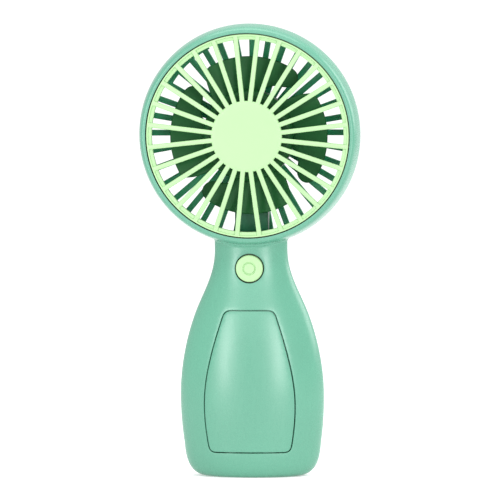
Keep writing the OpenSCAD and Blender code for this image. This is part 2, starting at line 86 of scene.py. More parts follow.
class FanSizes(bpy.types.PropertyGroup):
    """Sizes of the fan that follow the frame."""
    head_radius: length("Head radius", "Outside radius of the round head", 50)
    head_height: length("Head height", "Height of the fan axis above the base", 154.5)
    handle_width: length("Handle width", "Width of the handle at its widest", 65.2)
    neck_width: length("Neck width", "Width of the neck under the head", 33)
    depth_ratio: FloatProperty(name="Depth ratio", default=0.46, min=0.3, max=0.8,
                               description="Depth of the handle divided by its width")
    wall: length("Wall", "Thickness of the shells and the battery door", 1.8)
    door_gap: length("Door gap", "Gap round the battery door", 0.42)
    edge: length("Edge radius", "Rounding of the moulded edges", 0.3)
    front_spokes: IntProperty(name="Front spokes", default=28, min=8, max=60,
                              description="Number of spokes in the front grille")
    front_spoke_width: length("Front spoke width", "Width of one front spoke", 2.2)
    disc_radius: length("Disc radius", "Radius of the blank disc of the front grille", 16)
    rear_spokes: IntProperty(name="Rear spokes", default=36, min=8, max=60,
                             description="Number of spokes in the rear grille")
    rear_spoke_width: length("Rear spoke width", "Width of one rear spoke", 2.8)
    blades: IntProperty(name="Blades", default=4, min=2, max=9,
                        description="Number of blades on the impeller")
    blade_radius: length("Blade radius", "Radius to the blade tips", 35)
    hub_radius: length("Hub radius", "Radius of the impeller's hub", 20.5)
    button_radius: length("Button radius", "Radius of the power button", 6.1)
    button_height: length("Button height", "Height of the button above the base", 94.5)


class FanColours(bpy.types.PropertyGroup):
    """Colours of the fan, in linear light."""
    housing: colour("Housing", "Mint plastic of the handle and head", (0.085, 0.266, 0.183))
    lime: colour("Lime", "Pale plastic of the front grille and button", (0.300, 0.490, 0.240))
    # The rear grille's green is darkened to stand for the shade inside the head: painted shade, also on the
    # motor cap.
    rear: colour("Rear grille", "Green of the rear grille, darkened as painted shade inside the head", (0.014, 0.265, 0.108))
    impeller: colour("Impeller", "Dark green plastic of the impeller", (0.009, 0.072, 0.018))
    steel: colour("Steel", "Plated steel of screws and strips", (0.60, 0.59, 0.56))
    copper: colour("Copper", "Enamelled copper wire", (0.62, 0.22, 0.09))
    brass: colour("Brass", "Brass and bronze pieces", (0.66, 0.46, 0.20))
    sleeve: colour("Cell sleeve", "Printed sleeve of the battery cells", (0.012, 0.115, 0.075))


def sizes():
    return bpy.context.scene.fan_sizes


def colours():
    return bpy.context.scene.fan_colours


def mm(value):
    return value / MM


# ---------------------------------------------------------------- shader graphs


def overload(operation):
    """An operator and its reflected form, each adding one Math node."""
    def forward(self, other):
        return self.maths(operation, self, other)

    def reflected(self, other):
        return self.maths(operation, other, self)
    return forward, reflected


class Wire:
    """A socket in a node tree. Python's operators add the matching Math nodes."""
    __add__, __radd__ = overload("ADD")
    __sub__, __rsub__ = overload("SUBTRACT")
    __mul__, __rmul__ = overload("MULTIPLY")
    __pow__, __rpow__ = overload("POWER")

    def __init__(self, tree, socket):
        self.tree = tree
        self.socket = socket

    def node(self, kind, inputs, out=0, **settings):
        """Adds any node, sets it, feeds it values or wires by input, and returns one output."""
        made = self.tree.nodes.new(kind)
        for key, value in settings.items():
            setattr(made, key, value)
        for key, value in inputs.items():
            if isinstance(value, Wire):
                self.tree.links.new(value.socket, made.inputs[key])
            else:
                made.inputs[key].default_value = value
        return Wire(self.tree, made.outputs[out])

    def maths(self, operation, *values):
        return self.node("ShaderNodeMath", dict(enumerate(values)), operation=operation)

    def larger(self, other):
        return self.maths("MAXIMUM", self, other)

    def ramp(self, low, high):
        """0 below low, 1 above high, smooth between."""
        return self.node("ShaderNodeMapRange", {0: self, 1: low, 2: high, 3: 0.0, 4: 1.0},
                         interpolation_type="SMOOTHSTEP")

    def blend(self, low, high):
        """The colour from low to high as this value goes from 0 to 1."""
        low, high = (c if isinstance(c, Wire) else (*c, 1.0) for c in (low, high))
        return self.node("ShaderNodeMix", {0: self, 6: low, 7: high}, out=2, data_type="RGBA")


class Finish:
    """One material: a Principled shader and the wires that vary over the surface."""

    def __init__(self, name, base, roughness, metallic=0.0, **fixed):
        self.material = bpy.data.materials.new(name)
        self.material.use_nodes = True
        self.material.diffuse_color = (*base, 1.0)
        self.tree = self.material.node_tree
        self.shader = self.tree.nodes["Principled BSDF"]
        self.set("Base Color", (*base, 1.0))
        self.set("Roughness", roughness)
        self.set("Metallic", metallic)
        for key, value in fixed.items():
            self.set(key.replace("_", " "), value)
        coordinates = self.tree.nodes.new("ShaderNodeTexCoord")
        self.place = Wire(self.tree, coordinates.outputs["Object"])

    def set(self, name, value):
        socket = self.shader.inputs[name]
        if isinstance(value, Wire):
            self.tree.links.new(value.socket, socket)
        else:
            socket.default_value = value

    def noise(self, per_metre, detail=3.0, stretch=None):
        where = self.place
        if stretch:
            where = where.node("ShaderNodeMapping", {"Vector": where, "Scale": stretch})
        return where.node("ShaderNodeTexNoise", {"Vector": where, "Scale": per_metre, "Detail": detail})

    def cells(self, per_metre):
        return self.place.node("ShaderNodeTexVoronoi", {"Vector": self.place, "Scale": per_metre})

    def bands(self, per_metre, axis, kind="BANDS", centre=(0, 0, 0)):
        where = self.place.node("ShaderNodeMapping", {"Vector": self.place, "Location": centre})
        setting = {"bands_direction": axis} if kind == "BANDS" else {"rings_direction": axis}
        return where.node("ShaderNodeTexWave", {"Vector": where, "Scale": per_metre, "Detail": 0.0},
                          out=1, wave_type=kind, **setting)

    def axis(self, number):
        return self.place.node("ShaderNodeSeparateXYZ", {"Vector": self.place}, out=number)

    def away(self, height):
        """Distance from the line that runs front to back at a height."""
        across, up = self.axis(0), self.axis(2) - height
        return (across * across + up * up) ** 0.5

    def bump(self, height, strength, distance):
        self.set("Normal", height.node("ShaderNodeBump", {
            "Height": height, "Strength": strength, "Distance": distance}))


def tint(base, gain, lift=0.0):
    return tuple(min(1.0, max(0.0, c * gain + lift)) for c in base)


def moulded(name, base, roughness=0.36, texture=0.05, flow=0.04, shine=0.5, shade=None):
    """Moulded plastic: slow drifts of tone, a fine spark-eroded skin and faint handling marks, and any
    painted shade that shade lays over the base colour.
    """
    f = Finish(name, base, roughness, IOR=1.49)
    f.set("Specular IOR Level", shine)
    drift = f.noise(26, 2.0).ramp(0.35, 0.65)
    plain = drift.blend(tint(base, 1 - flow), tint(base, 1 + flow))
    f.set("Base Color", shade(f, plain) if shade else plain)
    skin = f.noise(2600, 2.0)
    marks = f.noise(310, 4.0, (1.0, 1.0, 0.25)).ramp(0.46, 0.74)
    f.set("Roughness", roughness + (skin - 0.5) * 0.08 + marks * 0.03)
    f.bump(skin + f.noise(900, 1.0) * 0.6, texture, 0.00006)
    return f.material


def metal(name, base, roughness, grain="turned", strength=0.12):
    """Bare metal, with turned, drawn or plain grain."""
    f = Finish(name, base, roughness, 1.0)
    stretch = {"turned": (0.2, 6.0, 0.2), "drawn": (5.0, 5.0, 0.15), "plain": (1.0, 1.0, 1.0)}[grain]
    scratches = f.noise(1500, 3.0, stretch)
    tarnish = f.noise(160, 3.0).ramp(0.4, 0.72)
    f.set("Base Color", tarnish.blend(base, tint(base, 0.82)))
    f.set("Roughness", roughness + (scratches - 0.5) * 0.18 + tarnish * 0.08)
    f.bump(scratches, strength, 0.00004)
    return f.material


def coil_wire(name, base):
    """Layers of enamelled wire, side by side."""
    f = Finish(name, base, 0.3, 0.9)
    turns = f.bands(650, "Y")
    f.set("Base Color", turns.blend(tint(base, 0.45), base))
    f.set("Roughness", 0.28 + f.noise(700) * 0.12)
    f.bump(turns, 0.6, 0.0001)
    return f.material


def stacked_sheet(name, base):
    """A stack of thin steel sheets seen on edge."""
    f = Finish(name, base, 0.42, 1.0)
    sheets = f.bands(330, "Y")
    f.set("Base Color", sheets.blend(tint(base, 0.5), base))
    f.set("Roughness", 0.36 + f.noise(500) * 0.2)
    f.bump(sheets, 0.4, 0.00008)
    return f.material


def board_lacquer(name, base):
    """Green lacquer with the tracks and pads faintly raised under it."""
    f = Finish(name, base, 0.3, 0.0)
    tracks = f.bands(240, "X").ramp(0.62, 0.75)
    across = f.bands(150, "Z").ramp(0.78, 0.86)
    copper = tracks.larger(across)
    f.set("Base Color", copper.blend(base, tint(base, 1.7, 0.02)))
    f.set("Roughness", 0.3 + f.noise(400) * 0.12)
    f.bump(copper, 0.3, 0.00006)
    return f.material


def cell_sleeve(name, base, band):
    """A shrunk sleeve: plain colour with a bright band towards its plus end."""
    f = Finish(name, base, 0.28)
    height = f.axis(2)
    low_plus = f.axis(0).ramp(-0.0005, 0.0005)
    upper = height.ramp(0.0532, 0.0535)
    lower = 1.0 - height.ramp(0.0283, 0.0286)
    stripe = upper * (1.0 - low_plus) + lower * low_plus
    f.set("Base Color", stripe.blend(base, band))
    f.set("Roughness", 0.26 + f.noise(300, 3.0) * 0.14)
    f.bump(f.noise(900, 2.0), 0.08, 0.0001)
    return f.material


def grainy(name, base, roughness, per_metre, depth, spread=0.3):
    """Sintered, ceramic or moulded stock with a visible grain."""
    f = Finish(name, base, roughness)
    grain = f.noise(per_metre, 4.0)
    specks = f.cells(per_metre * 0.8).ramp(0.1, 0.7)
    f.set("Base Color", (grain * specks).blend(tint(base, 1 - spread), tint(base, 1 + spread)))
    f.set("Roughness", roughness + (grain - 0.5) * 0.2)
    f.bump(grain, depth, 0.0001)
    return f.material


def insulation(name, base):
    """Soft insulation on thin wire."""
    f = Finish(name, base, 0.45)
    f.set("Base Color", f.noise(220, 2.0).blend(tint(base, 0.8), tint(base, 1.15)))
    f.set("Roughness", 0.38 + f.noise(900) * 0.14)
    f.bump(f.noise(1800, 2.0), 0.1, 0.00005)
    return f.material


def painted_shade_beyond(height, low, high, base):
    """Painted shade for a moulding: dark beyond a radius, where it lies behind a gap."""
    def shade(f, plain):
        return f.away(height).ramp(low * MM, high * MM).blend(plain, tint(base, 0.12))
    return shade


def plastics():
    """The moulded plastics of the outside and of the impeller, some with painted shade in gaps and inside the
    head.
    """
    s, c = sizes(), colours()
    housing, lime, rear = tuple(c.housing), tuple(c.lime), tuple(c.rear)
    button_r = mm(s.button_radius)
    hole = button_r + BUTTON_CLEARANCE

    def painted_gap_shade(f, plain):
        """Paints shade onto the walls of the gaps round the front grille and the button."""
        behind = f.axis(1).ramp(-0.002, -0.001)
        round_button = behind.larger(f.away(s.button_height).ramp(hole * MM, (hole + 0.2) * MM))
        round_grille = f.away(s.head_height).ramp((LIP + 0.02) * MM, (LIP + 0.2) * MM)
        return (round_button * round_grille).blend(tint(housing, 0.15), plain)

    # Darker towards the front of the rear grille, over the pod and the duct.
    def darker_in_front(f, plain):
        return f.axis(1).ramp(0.0045, 0.0100).blend(tint(rear, 0.42), plain)

    # The mint housing plastic carries painted shade in the gaps round the front grille and the button.
    mint = moulded("Mint housing plastic", housing, 0.27, 0.06, 0.03, shade=painted_gap_shade)
    # The rear grille and motor cap share a green darkened as painted shade for the inside of the head.
    green = moulded("Green rear grille plastic", rear, 0.36, 0.05, 0.08, 0.3, darker_in_front)
    return {
        "housing": mint, "door": mint, "rear_grille": green, "motor_cap": green,
        # The grille's flange and the button's flange get painted shade beyond their rims, where they show
        # through the gaps.
        "front_grille": moulded("Pale lime grille plastic", lime, 0.40, 0.05, 0.02, shade=painted_shade_beyond(
            s.head_height, GRILLE_RIM - 0.12, GRILLE_RIM + 0.05, lime)),
        "button": moulded("Pale lime button plastic", lime, 0.40, 0.05, 0.02, shade=painted_shade_beyond(
            s.button_height, button_r - 0.06, button_r + 0.1, lime)),
        "impeller": moulded("Dark green impeller plastic", tuple(c.impeller), 0.42, 0.03, 0.06, 0.12),
    }


def make_finishes():
    """Every finish by its slot in the record."""
    c = colours()
    steel, brass, copper = tuple(c.steel), tuple(c.brass), tuple(c.copper)
    return {
        **plastics(),
        "screw_steel": metal("Plated screw steel", steel, 0.30, "turned", 0.10),
        "tray": grainy("Dark tray plastic", (0.022, 0.032, 0.030), 0.52, 1800, 0.12),
        "cell_can": metal("Cell can steel", (0.66, 0.65, 0.63), 0.24, "turned", 0.06),
        "cell_sleeve": cell_sleeve("Printed cell sleeve", tuple(c.sleeve), (0.62, 0.36, 0.12)),
        "contact_metal": metal("Nickel contact strip", (0.68, 0.66, 0.60), 0.26, "plain", 0.10),
        "spring_wire": metal("Nickel spring wire", (0.68, 0.67, 0.63), 0.22, "drawn", 0.08),
        "lead_red": insulation("Red lead insulation", (0.38, 0.012, 0.010)),
        "lead_black": insulation("Black lead insulation", (0.012, 0.012, 0.013)),
        "board": board_lacquer("Green board lacquer", (0.006, 0.07, 0.022)),
        "switch_body": grainy("Switch body plastic", (0.02, 0.02, 0.021), 0.5, 2000, 0.10),
        "plunger": grainy("Plunger plastic", (0.012, 0.012, 0.013), 0.4, 2200, 0.08),
        "chip": grainy("Chip case", (0.016, 0.016, 0.018), 0.55, 2600, 0.18),
        "capacitor": grainy("Capacitor ceramic", (0.34, 0.20, 0.08), 0.45, 2400, 0.12, 0.12),
        "shaft_steel": metal("Ground shaft steel", (0.66, 0.66, 0.65), 0.18, "turned", 0.05),
        "core_steel": stacked_sheet("Stacked core steel", (0.30, 0.30, 0.29)),
        "copper_wire": coil_wire("Enamelled winding wire", copper),
        "commutator_copper": metal("Turned commutator copper", tint(copper, 1.2), 0.24, "turned"),
        "can_steel": metal("Drawn can steel", (0.58, 0.58, 0.56), 0.28, "drawn", 0.08),
        "magnet": grainy("Sintered magnet", (0.03, 0.03, 0.032), 0.6, 2400, 0.25),
        "bush_bronze": grainy("Sintered bronze", tint(brass, 0.9), 0.4, 3000, 0.2),
        "end_cap": moulded("White end cap plastic", (0.66, 0.64, 0.57), 0.45),
        "terminal_brass": metal("Stamped brass", brass, 0.26, "plain", 0.08),
    }


FINISHES = {}


def finish_for(slot):
    if not FINISHES:
        FINISHES.update(make_finishes())
    return FINISHES[slot]


# ---------------------------------------------------------------- geometry helpers


def bezier(p, count):
    """Points along one cubic, its end left out."""
    t = np.linspace(0, 1, count, endpoint=False)[:, None]
    p = np.array(p, float)
    return (1 - t) ** 3 * p[0] + 3 * (1 - t) ** 2 * t * p[1] + 3 * (1 - t) * t ** 2 * p[2] + t ** 3 * p[3]


def unit(vectors):
    return vectors / np.maximum(np.linalg.norm(vectors, axis=-1, keepdims=True), 1e-12)


def evenly(loop, step):
    """A closed loop resampled at an even spacing."""
    loop = np.asarray(loop, float)
    closed = np.vstack([loop, loop[:1]])
    run = np.concatenate([[0], np.cumsum(np.linalg.norm(np.diff(closed, axis=0), axis=1))])
    count = max(8, int(round(run[-1] / step)))
    at = np.linspace(0, run[-1], count, endpoint=False)
    return np.column_stack([np.interp(at, run, closed[:, k]) for k in range(loop.shape[1])])


def softened(loop, radius, step=0.25):
    """A closed loop with its corners rounded off."""
    fine = evenly(loop, step)
    reach = int(3 * radius / step)
    kernel = np.exp(-0.5 * (np.arange(-reach, reach + 1) * step / radius) ** 2)
    kernel /= kernel.sum()
    padded = np.vstack([fine[-reach:], fine, fine[:reach]])
    return np.column_stack([np.convolve(padded[:, k], kernel, "valid") for k in range(2)])


def grown(loop, distance):
    """A smooth anticlockwise loop moved outwards."""
    along = unit(np.roll(loop, -1, 0) - np.roll(loop, 1, 0))
    return loop + distance * np.column_stack([along[:, 1], -along[:, 0]])


def inside(points, loop):
    """Which points a closed loop holds."""
    x, y = points[:, :1], points[:, 1:]
    a, b = loop, np.roll(loop, -1, 0)
    rise = np.where(np.abs(b[:, 1] - a[:, 1]) < 1e-12, 1e-12, b[:, 1] - a[:, 1])
    crossing = (a[:, 1] > y) != (b[:, 1] > y)
    left = x < (b[:, 0] - a[:, 0]) * (y - a[:, 1]) / rise + a[:, 0]
    return (np.sum(crossing & left, axis=1) % 2) == 1


def circle_points(radius, count, centre=(0, 0)):
    a = np.linspace(0, 2 * math.pi, count, endpoint=False)
    return np.column_stack([centre[0] + radius * np.cos(a), centre[1] + radius * np.sin(a)])


def strips(loops, faces):
    """Quads between neighbouring closed loops of vertex numbers."""
    for low, high in zip(loops, loops[1:]):
        for i in range(len(low)):
            j = (i + 1) % len(low)
            faces.append((low[i], low[j], high[j], high[i]))


def loft(rings, closed=False):
    """A skin over rings of points, either capped at its ends or joined to its start."""
    rings = np.asarray(rings, float)
    count, sides = rings.shape[:2]
    loops = [list(range(k * sides, (k + 1) * sides)) for k in range(count)]
    faces = []
    strips(loops + ([loops[0]] if closed else []), faces)
    if not closed:
        faces += [tuple(reversed(loops[0])), tuple(loops[-1])]
    return rings.reshape(-1, 3), faces


def lathe(profile, segments=160, closed=True, centre_z=0.0):
    """A profile of radius and depth turned round the fan axis, which runs along Y."""
    a = np.linspace(0, 2 * math.pi, segments, endpoint=False)
    rings = [np.column_stack([r * np.cos(a), np.full(segments, y), centre_z + r * np.sin(a)])
             for r, y in profile]
    return loft(rings, closed)


def upright_lathe(profile, segments, closed=False, x=0.0, squash=1.0):
    """A profile of radius and height turned round an upright axis, and squashed along Y."""
    a = np.linspace(0, 2 * math.pi, segments, endpoint=False)
    rings = [np.column_stack([x + r * np.cos(a), r * squash * np.sin(a), np.full(segments, z)])
             for r, z in profile]
    return loft(rings, closed)


def arc_lathe(profile, start, end, segments, centre_z=0.0):
    """Part of a turn, with closed ends."""
    a = np.radians(np.linspace(start, end, segments))
    profile = np.asarray(profile, float)
    rings = [np.column_stack([profile[:, 0] * math.cos(t), profile[:, 1],
                              centre_z + profile[:, 0] * math.sin(t)]) for t in a]
    return loft(rings)


def rounded(profile, radius, steps=4):
    """A closed profile with each corner cut to a round."""
    profile = np.asarray(profile, float)
    count = len(profile)
    radii = radius if hasattr(radius, "__len__") else [radius] * count
    out = []
    for i in range(count):
        before, here, after = profile[i - 1], profile[i], profile[(i + 1) % count]
        u, v = unit(before - here), unit(after - here)
        reach = min(radii[i], 0.45 * np.linalg.norm(before - here), 0.45 * np.linalg.norm(after - here))
        if reach <= 0:
            out.append(here)
            continue
        for t in np.linspace(0, 1, steps + 1):
            out.append((1 - t) ** 2 * (here + u * reach) + 2 * t * (1 - t) * here
                       + t * t * (here + v * reach))
    return np.array(out)


def turns_left(loop):
    nxt = np.roll(loop, -1, 0)
    return np.sum(loop[:, 0] * nxt[:, 1] - nxt[:, 0] * loop[:, 1]) > 0


# ---------------------------------------------------------------- sheets cut from a surface


def between(points, loops):
    """Which points lie inside the first loop and outside the others."""
    keep = inside(points, loops[0])
    for loop in loops[1:]:
        keep &= ~inside(points, loop)
    return keep


def clearance(points, others):
    """The square of each point's distance to the nearest of the others."""
    return np.array([np.min(np.sum((others - p) ** 2, axis=1)) for p in points])


def filling(loops, step, rows):
    """Points between the loops: the given rows, then a staggered grid kept clear of them."""
    low, high = loops[0].min(0), loops[0].max(0)
    gx, gy = np.meshgrid(np.arange(low[0], high[0], step), np.arange(low[1], high[1], step * 0.87))
    gx = gx + (np.arange(gx.shape[0])[:, None] % 2) * step / 2
    grid = np.column_stack([gx.ravel(), gy.ravel()])
    rim = np.vstack(loops)
    grid = grid[between(grid, loops)]
    grid = grid[clearance(grid, rim) > (0.55 * step) ** 2]
    if not len(rows):
        return grid
    grid = grid[clearance(grid, rows) > (0.5 * step) ** 2]
    rows = rows[between(rows, loops)]
    return np.vstack([rows[clearance(rows, rim) > 0.01], grid])


def cut_sheet(loops, filler):
    """Flat points, the triangles between the loops, and the number that each loop point got."""
    edges, start = [], 0
    for loop in loops:
        n = len(loop)
        edges += [(start + i, start + (i + 1) % n) for i in range(n)]
        start += n
    points = [Vector(p) for p in np.vstack([*loops, filler])]
    made, _, tris, origin, _, _ = delaunay_2d_cdt(points, edges, [], 0, 1e-7)
    flat = np.array([tuple(p) for p in made])
    number = {i: k for k, many in enumerate(origin) for i in many}
    tris = np.array([t for t in tris if len(t) == 3])
    return flat, tris[between(flat[tris].mean(axis=1), loops)], number


NUDGE = 0.02


def skin_normals(surface, flat, outwards):
    du = surface(flat + [NUDGE, 0], 0.0) - surface(flat - [NUDGE, 0], 0.0)
    dv = surface(flat + [0, NUDGE], 0.0) - surface(flat - [0, NUDGE], 0.0)
    normal = unit(np.cross(du, dv))
    return -normal if np.mean(np.sum(normal * outwards, axis=1)) < 0 else normal


def off_the_edge(surface, loop, at, normal, is_hole):
    """The direction along the skin that leaves the sheet, at each point of one of its edges."""
    along = unit(np.roll(at, -1, 0) - np.roll(at, 1, 0))
    away = unit(np.cross(along, normal))
    side = grown(loop if turns_left(loop) else loop[::-1], NUDGE)
    side = (side if turns_left(loop) else side[::-1]) - loop
    hint = surface(loop + (-side if is_hole else side), 0.0) - at
    return away * (1 if np.sum(np.sign(np.sum(hint * away, axis=1))) > 0 else -1)


def panel(surface, outline, holes, step, wall, edge, rows=(), pockets=(), back_edge=0.15):
    """A sheet of even thickness cut to an outline, with rounded edges.

    surface(points, depth) maps flat points to space, depth below the outer skin. A pocket is
    (loop, function): the function takes the rim and returns the rings of a blind hole.
    """
    loops = [np.asarray(loop, float) for loop in [outline, *holes, *(p[0] for p in pockets)]]
    blind = [None] * (1 + len(holes)) + [p[1] for p in pockets]
    flat, tris, number = cut_sheet(loops, filling(loops, step, rows))
    outer, inner = surface(flat, 0.0), surface(flat, wall)
    normal = skin_normals(surface, flat, outer - inner)
    total = len(flat)
    verts, faces, plugs = [outer, inner], [tuple(t) for t in tris], []

    def add_rings(numbers, rings):
        """Adds rings of points with the faces between them, and returns the last one's numbers."""
        loops = [numbers]
        for ring in rings:
            first = sum(map(len, verts))
            verts.append(ring)
            loops.append(list(range(first, first + len(ring))))
        strips(loops, faces)
        return loops[-1]

    start = 0
    for loop, pocket in zip(loops, blind):
        ids = [number[start + i] for i in range(len(loop))]
        at, out_of = outer[ids], normal[ids]
        away = off_the_edge(surface, loop, at, out_of, start > 0)
        start += len(loop)
        behind = [total + i for i in ids]
        rings = [at + away * edge * math.sin(t) - out_of * edge * (1 - math.cos(t))
                 for t in np.linspace(0, math.pi / 2, 6)[1:]]
        if pocket:
            faces.append(tuple(add_rings(ids, rings + pocket(rings[-1]))))
            plugs.append(tuple(behind))
            continue
        rings += [at + away * (edge - back_edge * (1 - math.cos(t)))
                  - out_of * (wall - back_edge + back_edge * math.sin(t))
                  for t in (0.0, math.pi / 6, math.pi / 3)]
        inner[ids] = at + away * (edge - back_edge) - out_of * wall
        strips([add_rings(ids, rings), behind], faces)
    faces += [tuple(total + i for i in t[::-1]) for t in tris]
    return np.vstack(verts), faces + plugs


# ---------------------------------------------------------------- meshes and pieces


def mesh_from(name, parts, crease=38):
    """One mesh, in metres, from closed skins in millimetres."""
    bm = bmesh.new()
    for verts, faces in parts:
        made = [bm.verts.new(Vector(v) * MM) for v in np.asarray(verts, float)]
        for face in faces:
            corners = [made[i] for i in face]
            if len(set(face)) == len(face) and bm.faces.get(corners) is None:
                bm.faces.new(corners)
    loose = [v for v in bm.verts if not v.link_faces]
    bmesh.ops.delete(bm, geom=loose, context="VERTS")
    bmesh.ops.remove_doubles(bm, verts=bm.verts, dist=0.0000005)
    bmesh.ops.recalc_face_normals(bm, faces=bm.faces)
    mesh = bpy.data.meshes.new(name)
    bm.to_mesh(mesh)
    bm.free()
    mesh.polygons.foreach_set("use_smooth", [True] * len(mesh.polygons))
    mesh.set_sharp_from_angle(angle=math.radians(crease))
    return mesh


def as_part(mesh):
    """A mesh's points in millimetres and its faces."""
    points = np.array([v.co[:] for v in mesh.vertices]) / MM
    return points, [tuple(p.vertices) for p in mesh.polygons]


def place_piece(name, mesh, slot, body, *nodes):
    """Links the mesh as a piece that rides a body and stands for CAD nodes."""
    piece = bpy.data.objects.new(name, mesh)
    bpy.context.scene.collection.objects.link(piece)
    mesh.materials.clear()
    mesh.materials.append(finish_for(slot))
    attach(piece, body)
    if nodes:
        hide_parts(*nodes)
    return piece


def dress(*nodes):
    """Gives CAD nodes the finish of their slot."""
    wanted = {s["node"]: s["material_slot"] for s in frame["record"]["subparts"]}
    for name in nodes:
        mesh = frame["nodes"][name].data
        if len(mesh.materials):
            mesh.materials[0] = finish_for(wanted[name])
        else:
            mesh.materials.append(finish_for(wanted[name]))


# ---------------------------------------------------------------- geometry node trees


def new_tree(name, inputs):
    """A geometry tree with named inputs, and its group input and output nodes."""
    tree = bpy.data.node_groups.new(name, "GeometryNodeTree")
    tree.interface.new_socket("Geometry", in_out="INPUT", socket_type="NodeSocketGeometry")
    for label, kind, default in inputs:
        socket = tree.interface.new_socket(label, in_out="INPUT", socket_type="NodeSocket" + kind)
        if default is not None:
            socket.default_value = default
    tree.interface.new_socket("Geometry", in_out="OUTPUT", socket_type="NodeSocketGeometry")
    return tree, tree.nodes.new("NodeGroupInput"), tree.nodes.new("NodeGroupOutput")


def link(tree, source, socket, target, into):
    tree.links.new(source.outputs[socket], target.inputs[into])


def close_tree(tree, source, socket, group_in, group_out):
    """Every tree ends in real geometry with its material set."""
    real = tree.nodes.new("GeometryNodeRealizeInstances")
    paint = tree.nodes.new("GeometryNodeSetMaterial")
    link(tree, source, socket, real, 0)
    link(tree, real, 0, paint, 0)
    link(tree, group_in, "Material", paint, "Material")
    link(tree, paint, 0, group_out, 0)
    return tree


def copies_round_axis():
    """Copies of one piece, evenly round an axis along Y."""
    tree, given, result = new_tree("Copies round the fan axis", [
        ("Count", "Int", 12), ("Start angle", "Float", 0.0),
        ("Centre", "Vector", None), ("Material", "Material", None)])
    points = tree.nodes.new("GeometryNodePoints")
    index = tree.nodes.new("GeometryNodeInputIndex")
    share = tree.nodes.new("ShaderNodeMath")
    share.operation = "DIVIDE"
    turn = tree.nodes.new("ShaderNodeMath")
    turn.operation = "MULTIPLY_ADD"
    turn.inputs[1].default_value = 2 * math.pi
    spin = tree.nodes.new("ShaderNodeCombineXYZ")
    copies = tree.nodes.new("GeometryNodeInstanceOnPoints")
    link(tree, given, "Count", points, "Count")
    link(tree, given, "Centre", points, "Position")
    link(tree, index, 0, share, 0)
    link(tree, given, "Count", share, 1)
    link(tree, share, 0, turn, 0)
    link(tree, given, "Start angle", turn, 2)
    link(tree, turn, 0, spin, "Y")
    link(tree, points, 0, copies, "Points")
    link(tree, given, "Geometry", copies, "Instance")
    link(tree, spin, 0, copies, "Rotation")
    return close_tree(tree, copies, 0, given, result)


def copies_on_points():
    """One copy of an object on each point of the mesh."""
    tree, given, result = new_tree("A screw at each point", [
        ("Screw", "Object", None), ("Material", "Material", None)])
    source = tree.nodes.new("GeometryNodeObjectInfo")
    copies = tree.nodes.new("GeometryNodeInstanceOnPoints")
    link(tree, given, "Screw", source, "Object")
    link(tree, given, "Geometry", copies, "Points")
    link(tree, source, "Geometry", copies, "Instance")
    return close_tree(tree, copies, 0, given, result)


def wound_spring():
    """A conical coil of round wire, standing on its wide end."""
    tree, given, result = new_tree("Conical contact spring", [
        ("Turns", "Float", 3.0), ("Wide radius", "Float", 0.0043), ("Narrow radius", "Float", 0.0024),
        ("Height", "Float", 0.0018), ("Wire radius", "Float", 0.00028), ("Foot", "Vector", None),
        ("Tilt", "Vector", None), ("Material", "Material", None)])
    coil = tree.nodes.new("GeometryNodeCurveSpiral")
    coil.inputs["Resolution"].default_value = 40
    section = tree.nodes.new("GeometryNodeCurvePrimitiveCircle")
    section.inputs["Resolution"].default_value = 10
    skin = tree.nodes.new("GeometryNodeCurveToMesh")
    skin.inputs["Fill Caps"].default_value = True
    stand = tree.nodes.new("GeometryNodeTransform")
    both = tree.nodes.new("GeometryNodeJoinGeometry")
    link(tree, given, "Turns", coil, "Rotations")
    link(tree, given, "Wide radius", coil, "Start Radius")
    link(tree, given, "Narrow radius", coil, "End Radius")
    link(tree, given, "Height", coil, "Height")
    link(tree, given, "Wire radius", section, "Radius")
    link(tree, coil, 0, skin, "Curve")
    link(tree, section, 0, skin, "Profile Curve")
    link(tree, skin, 0, stand, "Geometry")
    link(tree, given, "Foot", stand, "Translation")
    link(tree, given, "Tilt", stand, "Rotation")
    link(tree, stand, 0, both, 0)
    link(tree, given, "Geometry", both, 0)
    return close_tree(tree, both, 0, given, result)


TREES = {}


def tree_for(maker):
    if maker not in TREES:
        TREES[maker] = maker()
    return TREES[maker]


def grow(mesh, maker, **values):
    """Runs a geometry tree on a mesh and returns plain mesh."""
    host = bpy.data.objects.new("host", mesh)
    bpy.context.scene.collection.objects.link(host)
    modifier = host.modifiers.new("tree", "NODES")
    modifier.node_group = tree_for(maker)
    sockets = {s.name.replace(" ", "_").lower(): s.identifier
               for s in modifier.node_group.interface.items_tree
               if s.item_type == "SOCKET" and s.in_out == "INPUT"}
    for key, value in values.items():
        modifier[sockets[key]] = value
    bpy.context.view_layer.update()
    graph = bpy.context.evaluated_depsgraph_get()
    made = bpy.data.meshes.new_from_object(host.evaluated_get(graph), depsgraph=graph)
    host.modifiers.clear()
    bpy.data.objects.remove(host)
    return made


def repeated(parts, count, start_degrees, slot):
    """Like pieces round the fan axis, as one skin in millimetres."""
    s = sizes()
    made = grow(mesh_from("one", parts), copies_round_axis, count=count,
                start_angle=math.radians(start_degrees), centre=(0.0, 0.0, s.head_height),
                material=finish_for(slot))
    return as_part(made)


# ---------------------------------------------------------------- the handle's surface


